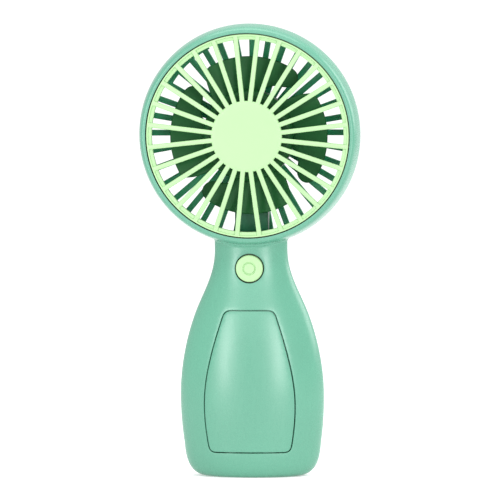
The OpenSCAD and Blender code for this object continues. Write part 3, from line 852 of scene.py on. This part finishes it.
class Handle:
    """The bottle-shaped handle: half width against height, and shallower front to back."""

    SPREAD = 27.0

    def __init__(self):
        s = sizes()
        self.half, self.neck = mm(s.handle_width) / 2, mm(s.neck_width) / 2
        self.ratio, self.head_z = s.depth_ratio, mm(s.head_height)
        self.ring, self.fillet = mm(s.head_radius), 0.9
        h, n = self.half, self.neck
        runs = [
            [(h * 0.6, 0), (h * 0.84, 0), (h * 0.93, 5), (h * 0.951, 14.5)],
            [(h * 0.951, 14.5), (h * 0.979, 21), (h, 28), (h, 36)],
            [(h, 36), (h + 0.1, 52), (h * 0.871, 67.8), (h * 0.733, 78)],
            [(h * 0.733, 78), (h * 0.632, 85.5), (n - 0.2, 93), (n, 103)],
        ]
        side = np.vstack([[(0, 0)], *(bezier(r, 60) for r in runs), [(n, 103), (n, 125)]])
        self.flat = h * 0.6
        self.a, self.z = side[:, 0], side[:, 1]
        self.run = np.concatenate([[0], np.cumsum(np.hypot(np.diff(self.a), np.diff(self.z)))])

    def flatten(self, points):
        """Turns points in X and Z on the front into the skin's own flat coordinates."""
        points = np.asarray(points, float)
        v = np.interp(points[:, 1], self.z[1:], self.run[1:])
        a = np.interp(v, self.run, self.a)
        return np.column_stack([np.arcsin(np.clip(points[:, 0] / a, -1, 1)) * self.SPREAD, v])

    def surface(self, side):
        """The skin in front (side -1) or behind (side 1)."""
        def skin(points, depth):
            a = np.interp(points[:, 1], self.run, self.a)
            z = np.interp(points[:, 1], self.run, self.z)
            turn = points[:, 0] / self.SPREAD
            a = a - depth * np.minimum(1.0, a / 12)
            squash = (self.half * self.ratio - depth) / (self.half - depth)
            x, y = a * np.sin(turn), side * a * squash * np.cos(turn)
            away = np.hypot(x, z - self.head_z) - self.ring + 0.05
            near = np.clip(self.fillet - away, 0, self.fillet)
            flare = self.fillet - np.sqrt(np.maximum(self.fillet ** 2 - near ** 2, 0))
            flare = np.where((z > 100) & (depth < 0.5), flare, 0)
            out = unit(np.column_stack([x, y / squash ** 2]))
            lifted = np.maximum(z, 2.2 * min(1.0, depth / 1.8))
            return np.column_stack([x + out[:, 0] * flare, y + out[:, 1] * flare, lifted])
        return skin

    def half_outline(self, gap):
        """The edge of one half: along the base, up one side, under the head and down."""
        def deep(v):
            half_depth = np.interp(v, self.run, self.a) * self.ratio
            return np.arccos(np.clip(gap / half_depth, 0, 1)) * self.SPREAD

        foot, tucked = 1.2, self.ring - 1.2
        v_low = np.concatenate([np.arange(foot, self.flat, 1.6), np.arange(self.flat, self.run[-1], 0.9)])
        top = self.head_z - np.sqrt(tucked ** 2 - self.neck ** 2)
        v_top = np.interp(top, self.z[1:], self.run[1:])
        ups = v_low[v_low < v_top - 0.5]
        right = np.column_stack([deep(ups), ups])
        turn = np.linspace(1, -1, 47) * deep(v_top)
        x = self.neck * np.sin(turn / self.SPREAD)
        arch = self.head_z - np.sqrt(tucked ** 2 - x ** 2)
        over = np.column_stack([turn, np.interp(arch, self.z[1:], self.run[1:])])
        left = right[::-1] * [-1, 1]
        base = np.linspace(-1, 1, 9)[1:-1] * deep(foot)
        return np.vstack([np.column_stack([base, np.full(len(base), foot)]), right, over, left])

    def neck_rows(self):
        """Rows of points that follow the underside of the head."""
        rows = []
        for drop in (0.0, 0.12, 0.28, 0.5, 0.75, 1.05, 1.5):
            turn = np.linspace(-0.985, 0.985, 50) * math.pi / 2
            x = self.neck * np.sin(turn)
            z = self.head_z - np.sqrt((self.ring + drop) ** 2 - x ** 2)
            rows.append(np.column_stack([turn * self.SPREAD, np.interp(z, self.z[1:], self.run[1:])]))
        return np.vstack(rows)


def door_outline():
    """Outline of the battery door in X and Z, anticlockwise from below."""
    low, high = 11.9, 75.5
    side = np.vstack([
        bezier([(18.2, low), (19.4, 19), (20.4, 25), (20.4, 33)], 16),
        bezier([(20.4, 33), (20.4, 45), (17.2, 57), (11, high)], 24), [(11, high)]])
    return softened(np.vstack([side, side[::-1] * [-1, 1]]), 1.7)


# ---------------------------------------------------------------- the pieces


def front_housing_parts():
    s = sizes()
    handle = Handle()
    edge, gap, wall = mm(s.edge), mm(s.door_gap), mm(s.wall)
    opening = evenly(grown(door_outline(), gap + edge), 1.0)
    hole_r = mm(s.button_radius) + BUTTON_CLEARANCE + edge * 0.8
    hole = circle_points(hole_r, 56, (0, mm(s.button_height)))
    shell = panel(handle.surface(-1), handle.half_outline(SEAM + edge * 0.8),
                  [handle.flatten(opening), handle.flatten(hole)], 1.7, wall, edge * 0.8,
                  rows=handle.neck_rows())
    return [shell, ring_part(), ledge_part(handle)]


def ring_part():
    """The head's ring: a shallow barrel with a lip that frames the front grille."""
    r, lip, duct = mm(sizes().head_radius), LIP, DUCT
    front = bezier([(lip + 0.9, -12), (lip + 2.6, -12), (r - 0.7, -9), (r, -2.5)], 20)
    rear = bezier([(r, -1), (r - 0.4, 4), (r - 1.1, 10), (r - 1.62, 12.6)], 14)
    inner = [(duct + 0.12, 12.93), (duct, 12.75), (duct, 0), (duct, -9.3), (duct - 0.3, -9.75),
             (lip + 0.25, -9.8), (lip + 0.06, -9.9), (lip, -10.1), (lip, -11.75), (lip + 0.05, -11.9),
             (lip + 0.14, -11.98), (lip + 0.3, -12)]
    edge = [(r - 1.65, 12.85), (r - 1.76, 12.97), (r - 1.9, 13)]
    profile = np.vstack([front, rear, edge, inner])
    return lathe(profile, 200, centre_z=mm(sizes().head_height))


def ledge_part(handle):
    """The ledge behind the door's edge, open along the bottom."""
    outer, inner = grown(door_outline(), 1.0), grown(door_outline(), -1.1)
    keep = [i for i in range(len(outer)) if inner[i][1] > 16.4]
    first = next(k for k in range(len(keep)) if keep[k] - keep[k - 1] != 1)
    keep = (keep[first:] + keep[:first])[::4]
    wall = mm(sizes().wall)
    return backed_strip(handle, [(outer[i], inner[i]) for i in keep], (wall + 0.3, wall + 1.5))


def backed_strip(handle, pairs, depths):
    """A strip behind the front skin, between two depths, through pairs of points in X and Z."""
    skin = handle.surface(-1)
    rings = []
    for pair in pairs:
        near, far = (skin(handle.flatten(pair), depth) for depth in depths)
        rings.append([near[0], near[1], far[1], far[0]])
    return loft(rings)


def counterbore(centre, radius):
    """A function that takes a screw pocket's rim and returns its rings, down to the floor."""
    middle = np.array([centre[0], 0, centre[1]])

    def rings(rim):
        made = []
        for depth, r in ((rim[:, 1].min() * 0.5 + 2.4, radius), (SCREW_DEPTH + 0.3, radius),
                         (SCREW_DEPTH + 0.05, radius - 0.15), (SCREW_DEPTH, radius - 0.45)):
            ring = middle + unit((rim - middle) * [1, 0, 1]) * r
            ring[:, 1] = depth
            made.append(ring)
        return made
    return rings


def rear_housing_parts():
    s = sizes()
    handle = Handle()
    edge, pocket_r = mm(s.edge), 2.35
    pockets = [(handle.flatten(circle_points(pocket_r + edge, 36, p)), counterbore(p, pocket_r))
               for p in SCREW_PLACES]
    shell = panel(handle.surface(1), handle.half_outline(SEAM + edge * 0.8), [], 1.7, mm(s.wall),
                  edge * 0.8, rows=handle.neck_rows(), pockets=pockets)
    # A small plug closes the middle of the base, where the two halves meet
    plug = rounded([(0.02, 0.35), (1.5, 0.35), (1.5, 1.6), (0.02, 1.6)], 0.2)
    return [shell, upright_lathe(plug, 32, closed=True, squash=0.5)]


def battery_door_parts():
    s = sizes()
    handle = Handle()
    edge, wall = mm(s.edge), mm(s.wall)
    outline = evenly(grown(door_outline(), -edge * 0.8), 0.9)
    skin = handle.surface(-1)
    parts = [panel(skin, handle.flatten(outline), [], 1.5, wall, edge * 0.8)]
    for x in (-9, 9):
        parts.append(curved_tab(handle, x, 10.65, 15.5, 5.0, (1.95, 3.0)))
        parts.append(curved_tab(handle, x, 12.3, 15.5, 5.0, (1.7, 3.0)))
    parts.append(curved_tab(handle, 0, 70.0, 73.8, 7.0, (1.7, 3.0)))
    for z in (28, 44, 60):
        parts.append(curved_tab(handle, 0, z, z + 1.0, 24.0 if z < 60 else 18.0, (1.7, 2.5)))
    return parts


def curved_tab(handle, x, low, high, width, depths):
    """A tab that follows the inside of the door."""
    across = x + np.linspace(-width / 2, width / 2, 13)
    return backed_strip(handle, [[(at, low), (at, high)] for at in across], depths)


def button_parts():
    s = sizes()
    r, z = mm(s.button_radius), mm(s.button_height)
    front, flange = -9.0, -5.5
    crown = [(r - 0.75, front + 0.02), (r - 0.42, front + 0.09), (r - 0.2, front + 0.24),
             (r - 0.06, front + 0.48), (r, front + 0.8)]
    groove = [(0.001, front + 0.06), (1.2, front + 0.05), (2.1, front + 0.03), (2.24, front + 0.06),
              (2.32, front + 0.2), (2.38, front + 0.5), (2.48, front + 0.58), (2.82, front + 0.58),
              (2.92, front + 0.5), (2.98, front + 0.2), (3.06, front + 0.05), (3.2, front + 0.01),
              (4.2, front)]
    skirt = [(r, flange), (r + 0.65, flange), (r + 0.8, flange + 0.15), (r + 0.8, flange + 0.65),
             (r + 0.65, flange + 0.8), (r - 1.2, flange + 0.8), (r - 1.3, flange + 0.7),
             (r - 1.3, front + 1.7), (r - 1.5, front + 1.5), (1.5, front + 1.5), (1.5, -4.0),
             (1.4, -3.9), (0.001, -3.9)]
    return [lathe(groove + crown + skirt, 96, closed=False, centre_z=z)]


def section_at(r, corners, radii):
    """A spoke's rounded section, standing across the spoke at a radius."""
    section = rounded(corners, radii, 4)
    return np.column_stack([np.full(len(section), r), section[:, 1], section[:, 0]])


def snap_tabs(profile, radius, reach, segments):
    """Four snap tabs round the fan axis."""
    z = mm(sizes().head_height)
    return [arc_lathe(rounded(profile, radius), a - reach, a + reach, segments, z) for a in SNAP_ANGLES]


def front_grille_parts():
    s = sizes()
    z, disc, half = mm(s.head_height), mm(s.disc_radius), mm(s.front_spoke_width) / 2
    rim_out, rim_in, head_front, dome, thick = GRILLE_RIM, 43.3, 12.0, 4.0, 1.8
    top = -head_front - dome
    plate = [(0.001, top), (disc - 2.0, top + 0.01), (disc - 0.8, top + 0.06), (disc - 0.3, top + 0.2),
             (disc - 0.06, top + 0.42), (disc, top + 0.7), (disc, top + thick - 0.2),
             (disc - 0.2, top + thick),
             (0.001, top + thick)]
    rim = rounded([(rim_in, -9.8), (rim_in, -11.35), (rim_out - 1.05, -11.4), (rim_out - 0.8, -12.0),
                   (rim_out - 0.14, -12.0), (rim_out - 0.14, -9.65), (rim_out + 1.1, -9.65),
                   (rim_out + 1.1, -9.2), (rim_in, -9.2)], [0, 0.3, 0.12, 0.16, 0.2, 0.1, 0.1, 0.1, 0.3])
    slope = dome / (rim_out - disc)
    rings = []
    for r in np.concatenate([[disc - 0.9, disc - 0.3, disc + 0.4], np.linspace(disc + 2, rim_out - 1.4, 12),
                             [rim_out - 0.85, rim_out - 0.5, rim_out - 0.25]]):
        front = top + slope * max(0.0, r - disc) + 0.05
        if r > rim_out - 1.4:
            front += 0.04
        if r > rim_out - 0.3:
            front += 0.15
        rings.append(section_at(r, [(-half, front), (half, front), (half * 0.9, front + thick),
                                    (-half * 0.9, front + thick)], [0.55, 0.55, 0.25, 0.25]))
    step = 360 / s.front_spokes
    spokes = repeated([loft(rings)], s.front_spokes, 90 - step / 2, "front_grille")
    snaps = snap_tabs([(44.2, -9.4), (46.6, -9.4), (46.2, -8.2), (44.2, -8.2)], 0.15, 6, 9)
    return [spokes, lathe(plate, 120, closed=False, centre_z=z), lathe(rim, 200, centre_z=z), *snaps]


def rear_grille_parts():
    s = sizes()
    z, half = mm(s.head_height), mm(s.rear_spoke_width) / 2
    pod, bore, rim_in, rim_out = POD, 12.4, 46.4, 47.45
    rise = 2 / (rim_in - pod)
    rings = []
    for r in np.concatenate([[pod + 0.6], np.linspace(pod + 3, rim_in - 1, 12), [rim_in + 0.5]]):
        back = 12.55 + rise * (rim_in - r)
        rings.append(section_at(r, [(-half * 0.9, back - 2), (half * 0.9, back - 2), (half, back),
                                    (-half, back)], [0.4, 0.4, 0.55, 0.55]))
    spokes = repeated([loft(rings)], s.rear_spokes, 0.0, "rear_grille")
    rim = rounded([(rim_in, 10.4), (rim_out, 10.4), (rim_out, 12.8), (rim_in, 12.8)], [0.2, 0.15, 0.3, 0.3])
    cup = rounded([(3.3, 0), (pod, 0), (pod, 12.2), (pod + 3.5, 12.2), (pod + 3.5, 14.2),
                   (bore, 14.2), (bore, 1.5), (3.3, 1.5)], [0.2, 0.7, 0.5, 0.5, 0.5, 0.3, 0.3, 0.2])
    tab = rounded([(42.6, 10.7), (46.7, 10.7), (46.7, 12.5), (42.6, 12.5)], 0.3)
    snaps = snap_tabs([(46.2, 6.4), (47.3, 6.6), (47.3, 11.4), (46.2, 11.4)], 0.2, 9, 11)
    return [spokes, lathe(rim, 200, centre_z=z), lathe(cup, 120, centre_z=z),
            arc_lathe(tab, 117, 152, 26, z), channel_part(z), *snaps]


def motor_cap_parts():
    """The cap over the pod: a dished disc with a ring groove."""
    rear, pod = 16.0, POD
    outer = [(0.001, rear - 0.28), (4.0, rear - 0.25), (8.2, rear - 0.08), (9.4, rear), (9.6, rear - 0.08),
             (9.75, rear - 0.36), (10.25, rear - 0.36), (10.4, rear - 0.08), (10.6, rear), (pod - 1.3, rear),
             (pod - 0.7, rear - 0.1), (pod, rear - 0.36), (pod + 0.45, rear - 0.7), (pod + 0.6, rear - 1.1),
             (pod + 0.6, 14.35), (pod + 0.5, 14.25), (pod - 1.25, 14.25), (pod - 1.4, 14.4),
             (pod - 1.4, rear - 1.0), (pod - 1.6, rear - 0.9), (0.001, rear - 0.9)]
    return [lathe(outer, 120, closed=False, centre_z=mm(sizes().head_height))]


def channel_part(z):
    """The closed duct that takes the motor's leads down to the neck."""
    section = rounded([(-7.5, 2.6), (7.5, 2.6), (7.5, 12.5), (-7.5, 12.5)], [0.35, 0.35, 0.6, 0.6], 5)
    rings = []
    for r, shrink in ((13.2, 1.0), (14.4, 1.0), (30, 1.0), (45.9, 1.0), (46.6, 0.985), (46.75, 0.95)):
        flat = (section - [0, 7.55]) * shrink + [0, 7.55]
        rings.append(np.column_stack([flat[:, 0], flat[:, 1], np.full(len(flat), z - r)]))
    return loft(rings)


def blade_part():
    """One blade: broad and swept, square behind and hooked in front, about its own middle."""
    s = sizes()
    tip, hub = mm(s.blade_radius), mm(s.hub_radius)
    polar = [(124, tip - 2.4), (122.6, tip - 0.8), (120, tip)]
    polar += [(a, tip) for a in np.linspace(117, 56, 20)]
    polar += [(52.5, tip - 0.35), (49.6, tip - 1.6), (48.2, tip - 3.6), (48.6, tip - 5.6), (50.6, tip - 7.2),
              (54, tip - 8.3), (59, tip - 9.2), (65, tip - 10.4), (70, tip - 12.0),
              (73.5, tip - 14.0), (75, hub - 0.7)]
    polar += [(a, hub - 0.7) for a in np.linspace(81, 130, 11)]
    polar += [(135, hub - 0.2), (131.5, hub + 3), (128.6, hub + 6.5), (126.2, hub + 10)]
    spread = 28.0
    outline = np.array([(math.radians(a) * spread, r) for a, r in polar])
    outline = outline[::-1] if not turns_left(outline) else outline
    outline = evenly(softened(outline, 0.5, 0.2), 0.9)
    outline[:, 1] = np.maximum(outline[:, 1], hub - 0.8)

    def skin(points, depth):
        a = points[:, 0] / spread
        share = (np.radians(124) - a) / np.radians(76)
        r = points[:, 1]
        pitch = -9.0 + 8.4 * np.clip(share, -0.15, 1.02)
        cup = 0.9 * np.sin(np.clip(share, 0, 1) * math.pi) * ((r - hub) / (tip - hub))
        return np.column_stack([r * np.cos(a), pitch - cup + depth, r * np.sin(a)])
    return panel(skin, outline, [], 1.6, 1.3, 0.55, back_edge=0.55)


def impeller_parts():
    s = sizes()
    z, hub, front = mm(s.head_height), mm(s.hub_radius), -10.7
    turn = np.radians(np.linspace(90, 0, 12))
    shoulder = np.column_stack([hub - 2.6 + 2.6 * np.cos(turn), front + 2.6 - 2.6 * np.sin(turn)])
    dish = [(0.001, front + 0.5), (6.0, front + 0.5), (6.4, front + 0.42), (6.8, front + 0.12), (7.2, front)]
    inside_cup = [(hub, -1.5), (hub - 0.15, -1.25), (hub - 0.4, -1.2), (hub - 1.1, -1.2), (hub - 1.3, -1.4),
                  (hub - 1.3, front + 3.6), (hub - 1.8, front + 2.2), (hub - 3.0, front + 1.4),
                  (3.4, front + 1.4), (3.4, -3.2), (3.2, -3.0), (1.0, -3.0), (1.0, front + 1.4),
                  (0.001, front + 1.4)]
    profile = np.vstack([dish, shoulder, inside_cup])
    blades = repeated([blade_part()], s.blades, 0.0, "impeller")
    return [lathe(profile, 120, closed=False, centre_z=z), blades]


def pan_screw(head, height, shank, stem):
    """A cross-recessed pan screw, its head towards +Y."""
    flat = [(0.001, -stem), (shank * 0.55, -stem), (shank, -stem + 0.8), (shank, 0),
            (head - 0.12, 0), (head, 0.12), (head, height * 0.45), (head * 0.93, height * 0.72),
            (head * 0.76, height * 0.92), (head * 0.52, height)]
    a = np.linspace(0, 2 * math.pi, 48, endpoint=False)
    rings = [np.column_stack([r * np.cos(a), np.full(48, y), r * np.sin(a)]) for r, y in flat]
    arm = np.abs(np.cos(2 * a)) ** 6
    cross = head * (0.16 + 0.36 * arm)
    for share, y in ((1.0, height), (0.94, height - 0.12), (0.72, height - 0.5), (0.4, height - 0.62)):
        rings.append(np.column_stack([cross * share * np.cos(a), np.full(48, y), cross * share * np.sin(a)]))
    return loft(rings)


def screw_mesh(places, head, height, shank, stem):
    """Like screws, one at each place, as one mesh."""
    one = mesh_from("one screw", [pan_screw(head, height, shank, stem)], 30)
    screw = bpy.data.objects.new("one screw", one)
    bpy.context.scene.collection.objects.link(screw)
    points = bpy.data.meshes.new("places")
    points.from_pydata([Vector(p) * MM for p in places], [], [])
    made = grow(points, copies_on_points, screw=screw, material=finish_for("screw_steel"))
    bpy.data.objects.remove(screw)
    return mesh_from("screws", [as_part(made)], 30)


# ---------------------------------------------------------------- operators


def make_piece(name, parts, slot, body, node):
    """Makes a piece from its parts and puts it in its CAD node's place."""
    place_piece(name, mesh_from(name, parts), slot, body, node)
    return {"FINISHED"}


class FanOperator:
    """What every maker shares: it runs in object mode, and may be undone."""
    bl_options = {"REGISTER", "UNDO"}

    @classmethod
    def poll(cls, context):
        return context.mode == "OBJECT"


class FAN_OT_front_housing(FanOperator, bpy.types.Operator):
    """Make the front housing: the handle's front half and the head's ring"""
    bl_idname = "fan.front_housing"
    bl_label = "Front Housing"

    def execute(self, context):
        return make_piece("front_housing", front_housing_parts(), "housing", "body", "front_shell")


class FAN_OT_rear_housing(FanOperator, bpy.types.Operator):
    """Make the rear half of the handle with its screw pockets"""
    bl_idname = "fan.rear_housing"
    bl_label = "Rear Housing"

    def execute(self, context):
        return make_piece("rear_housing", rear_housing_parts(), "housing", "body", "rear_shell")


class FAN_OT_battery_door(FanOperator, bpy.types.Operator):
    """Make the battery door with its hook tabs and tongue"""
    bl_idname = "fan.battery_door"
    bl_label = "Battery Door"

    def execute(self, context):
        return make_piece("door_panel", battery_door_parts(), "door", "door", "battery_door")


class FAN_OT_power_button(FanOperator, bpy.types.Operator):
    """Make the power button"""
    bl_idname = "fan.power_button"
    bl_label = "Power Button"

    def execute(self, context):
        return make_piece("button_cap", button_parts(), "button", "button", "power_button")


class FAN_OT_front_grille(FanOperator, bpy.types.Operator):
    """Make the front grille: rim, spokes and blank disc"""
    bl_idname = "fan.front_grille"
    bl_label = "Front Grille"

    def execute(self, context):
        return make_piece("grille_front", front_grille_parts(), "front_grille", "body", "front_grille")


class FAN_OT_rear_grille(FanOperator, bpy.types.Operator):
    """Make the rear grille with the motor's pod and the duct for its leads"""
    bl_idname = "fan.rear_grille"
    bl_label = "Rear Grille"

    def execute(self, context):
        return make_piece("grille_rear", rear_grille_parts(), "rear_grille", "body", "rear_grille")


class FAN_OT_motor_cap(FanOperator, bpy.types.Operator):
    """Make the cap that closes the motor's pod"""
    bl_idname = "fan.motor_cap"
    bl_label = "Motor Cap"

    def execute(self, context):
        return make_piece("pod_cap", motor_cap_parts(), "motor_cap", "body", "motor_cap")


class FAN_OT_impeller(FanOperator, bpy.types.Operator):
    """Make the impeller: hub and swept blades"""
    bl_idname = "fan.impeller"
    bl_label = "Impeller"

    def execute(self, context):
        return make_piece("impeller_blades", impeller_parts(), "impeller", "rotor", "impeller")


class FAN_OT_screws(FanOperator, bpy.types.Operator):
    """Make the case screws in their pockets"""
    bl_idname = "fan.screws"
    bl_label = "Screws"

    def execute(self, context):
        low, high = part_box("case_screws")
        mesh = screw_mesh([(x, SCREW_DEPTH, z) for x, z in SCREW_PLACES], head=2.1, shank=0.9,
                          height=mm(high.y) - SCREW_DEPTH, stem=SCREW_DEPTH - mm(low.y))
        place_piece("closing_screws", mesh, "screw_steel", "body", "case_screws")
        return {"FINISHED"}


class FAN_OT_battery_bay(FanOperator, bpy.types.Operator):
    """Finish the tray, the cells and their contacts"""
    bl_idname = "fan.battery_bay"
    bl_label = "Battery Bay"

    def execute(self, context):
        dress("battery_tray", "bridge_contact", "positive_contact", "negative_contact",
              "battery_lead_red", "battery_lead_black")
        for name, side in (("left", -1), ("right", 1)):
            x = side * CELL_OFFSET
            make_piece("cell_" + name, cell_can_parts(x, -side), "cell_can", "body", "aa_cell_" + name)
            make_piece("sleeve_" + name, sleeve_parts(x), "cell_sleeve", "body", "cell_sleeve_" + name)
        for name in ("spring_bottom", "spring_top"):
            self.spring(name)
        return {"FINISHED"}

    def spring(self, node):
        low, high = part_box(node)
        wire = 0.00028
        upside_down = node == "spring_top"
        foot = (CELL_OFFSET * MM, 0, high.z - wire) if upside_down else (-CELL_OFFSET * MM, 0, low.z + wire)
        empty = bpy.data.meshes.new("no points")
        made = grow(empty, wound_spring, turns=3.0, height=high.z - low.z - 2 * wire, wire_radius=wire,
                    foot=foot, tilt=(math.pi if upside_down else 0.0, 0.0, 0.0),
                    material=finish_for("spring_wire"))
        make_piece("coil_" + node, [as_part(made)], "spring_wire", "body", node)


def cell_can_parts(x, flip):
    """An AA cell's can: a rolled rim, a flat minus end and a nub on the plus end."""
    centre = 41.0
    profile = [(0.001, -24.6), (4.2, -24.6), (4.6, -24.45), (4.9, -24.2), (6.2, -24.2), (6.75, -24.05),
               (7.0, -23.6), (7.0, 22.6), (6.9, 23.1), (6.4, 23.35), (5.6, 23.4), (3.2, 23.4), (2.75, 23.5),
               (2.7, 23.8),
               (2.7, 24.3), (2.5, 24.55), (2.2, 24.6), (0.001, 24.6)]
    return [upright_lathe([(r, centre + flip * h) for r, h in profile], 64, x=x)]


def sleeve_parts(x):
    """The shrunk sleeve round a cell, turned in at both ends."""
    low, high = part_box("cell_sleeve_left")
    bottom, top = mm(low.z), mm(high.z)
    profile = [(6.95, bottom + 0.1), (7.05, bottom), (7.2, bottom + 0.12), (7.25, bottom + 0.4),
               (7.25, top - 0.4), (7.2, top - 0.12), (7.05, top), (6.95, top - 0.1), (6.98, top - 0.5),
               (6.98, bottom + 0.5)]
    return [upright_lathe(profile, 64, closed=True, x=x)]


def towards(azimuth, elevation):
    """The direction from the fan to a light or the camera, by angles in degrees."""
    a, e = math.radians(azimuth), math.radians(elevation)
    return Vector((math.sin(a) * math.cos(e), -math.cos(a) * math.cos(e), math.sin(e)))


class FAN_OT_inner_works(FanOperator, bpy.types.Operator):
    """Finish the motor, the board and the leads inside the housing"""
    bl_idname = "fan.inner_works"
    bl_label = "Inner Works"

    def execute(self, context):
        dress("motor_shaft", "armature_core", "armature_windings", "commutator", "motor_can",
              "motor_magnets", "front_bush", "motor_end_cap", "rear_bush", "motor_brushes", "motor_terminals",
              "motor_screws", "motor_lead_red", "motor_lead_black", "control_board", "board_screws",
              "tact_switch", "switch_plunger", "speed_chip", "filter_capacitor")
        return {"FINISHED"}


class FAN_OT_studio(FanOperator, bpy.types.Operator):
    """Set up the pale floor, the soft lights and the camera"""
    bl_idname = "fan.studio"
    bl_label = "Studio"

    def execute(self, context):
        scene = context.scene
        scene.view_settings.view_transform = "Standard"
        scene.view_settings.look = "None"
        self.floor()
        self.world(scene)
        self.light("left strip", -26, 3.5, 1.2, (0.22, 0.42), 3.9)
        self.light("right strip", 19.5, 3.5, 1.2, (0.22, 0.42), 3.9)
        self.light("front", -4, 22, 0.9, (0.7, 0.5), 1.6)
        self.light("above", 0, 84, 0.7, (0.7, 0.7), 5.0)
        self.light("right", 112, 25, 0.8, (0.5, 0.6), 4.0)
        self.camera(scene)
        return {"FINISHED"}

    def floor(self):
        """A wide round floor, level with the fan's base."""
        rings = [np.column_stack([circle_points(r, 96), np.full(96, z)]) / MM
                 for r, z in ((12.0, -0.02), (12.0, 0.0), (0.4, 0.0))]
        mesh = mesh_from("floor", [loft(rings)])
        floor = bpy.data.objects.new("floor", mesh)
        bpy.context.scene.collection.objects.link(floor)
        paper = Finish("Studio paper", (0.7, 0.7, 0.7), 0.8,
                       Emission_Color=(1, 1, 1, 1), Emission_Strength=0.40)
        paper.set("Base Color", paper.noise(3.0, 3.0).blend((0.69, 0.69, 0.69), (0.71, 0.71, 0.71)))
        mesh.materials.append(paper.material)

    def world(self, scene):
        world = bpy.data.worlds.new("Soft white room")
        world.use_nodes = True
        background = world.node_tree.nodes["Background"]
        background.inputs["Color"].default_value = (1.0, 1.0, 1.0, 1.0)
        background.inputs["Strength"].default_value = 1.0
        scene.world = world

    def light(self, name, azimuth, elevation, distance, size, power):
        data = bpy.data.lights.new(name, "AREA")
        data.shape = "RECTANGLE"
        data.size, data.size_y = size
        data.energy = power
        lamp = bpy.data.objects.new(name, data)
        bpy.context.scene.collection.objects.link(lamp)
        away = towards(azimuth, elevation)
        lamp.location = Vector((0, 0, 0.1)) + away * distance
        lamp.rotation_euler = (-away).to_track_quat("-Z", "Y").to_euler()
        lamp.visible_camera = False

    def camera(self, scene):
        data = bpy.data.cameras.new("Camera")
        camera = bpy.data.objects.new("Camera", data)
        scene.collection.objects.link(camera)
        away, distance, roll, view_width = towards(6.2, 4.8), 3.0, 0.5, 0.2255
        camera.location = Vector((-0.0005, 0.0, 0.1022)) + away * distance
        camera.rotation_mode = "QUATERNION"
        upright = (-away).to_track_quat("-Z", "Y")
        camera.rotation_quaternion = upright @ Quaternion((0, 0, 1), math.radians(-roll))
        data.sensor_width = 36
        data.lens = data.sensor_width * distance / view_width
        data.clip_start, data.clip_end = 0.1, 30
        scene.camera = camera


class FAN_PT_maker(bpy.types.Panel):
    """Lists the makers in the sidebar"""
    bl_label = "Handheld Fan"
    bl_idname = "FAN_PT_maker"
    bl_space_type = "VIEW_3D"
    bl_region_type = "UI"
    bl_category = "Fan"

    def draw(self, context):
        for maker in MAKERS:
            self.layout.operator(maker.bl_idname)
        for group in (context.scene.fan_sizes, context.scene.fan_colours):
            box = self.layout.box()
            for name in group.__annotations__:
                box.prop(group, name)


MAKERS = (FAN_OT_front_housing, FAN_OT_rear_housing, FAN_OT_battery_door, FAN_OT_power_button,
          FAN_OT_front_grille, FAN_OT_rear_grille, FAN_OT_motor_cap, FAN_OT_impeller, FAN_OT_screws,
          FAN_OT_battery_bay, FAN_OT_inner_works, FAN_OT_studio)
CLASSES = (FanSizes, FanColours, *MAKERS, FAN_PT_maker)


def register():
    for cls in CLASSES:
        bpy.utils.register_class(cls)
    bpy.types.Scene.fan_sizes = PointerProperty(type=FanSizes)
    bpy.types.Scene.fan_colours = PointerProperty(type=FanColours)


def unregister():
    del bpy.types.Scene.fan_colours
    del bpy.types.Scene.fan_sizes
    for cls in reversed(CLASSES):
        bpy.utils.unregister_class(cls)


def main():
    register()
    for maker in MAKERS:
        group, name = maker.bl_idname.split(".")
        getattr(getattr(bpy.ops, group), name)()


if __name__ == "__main__":
    main()
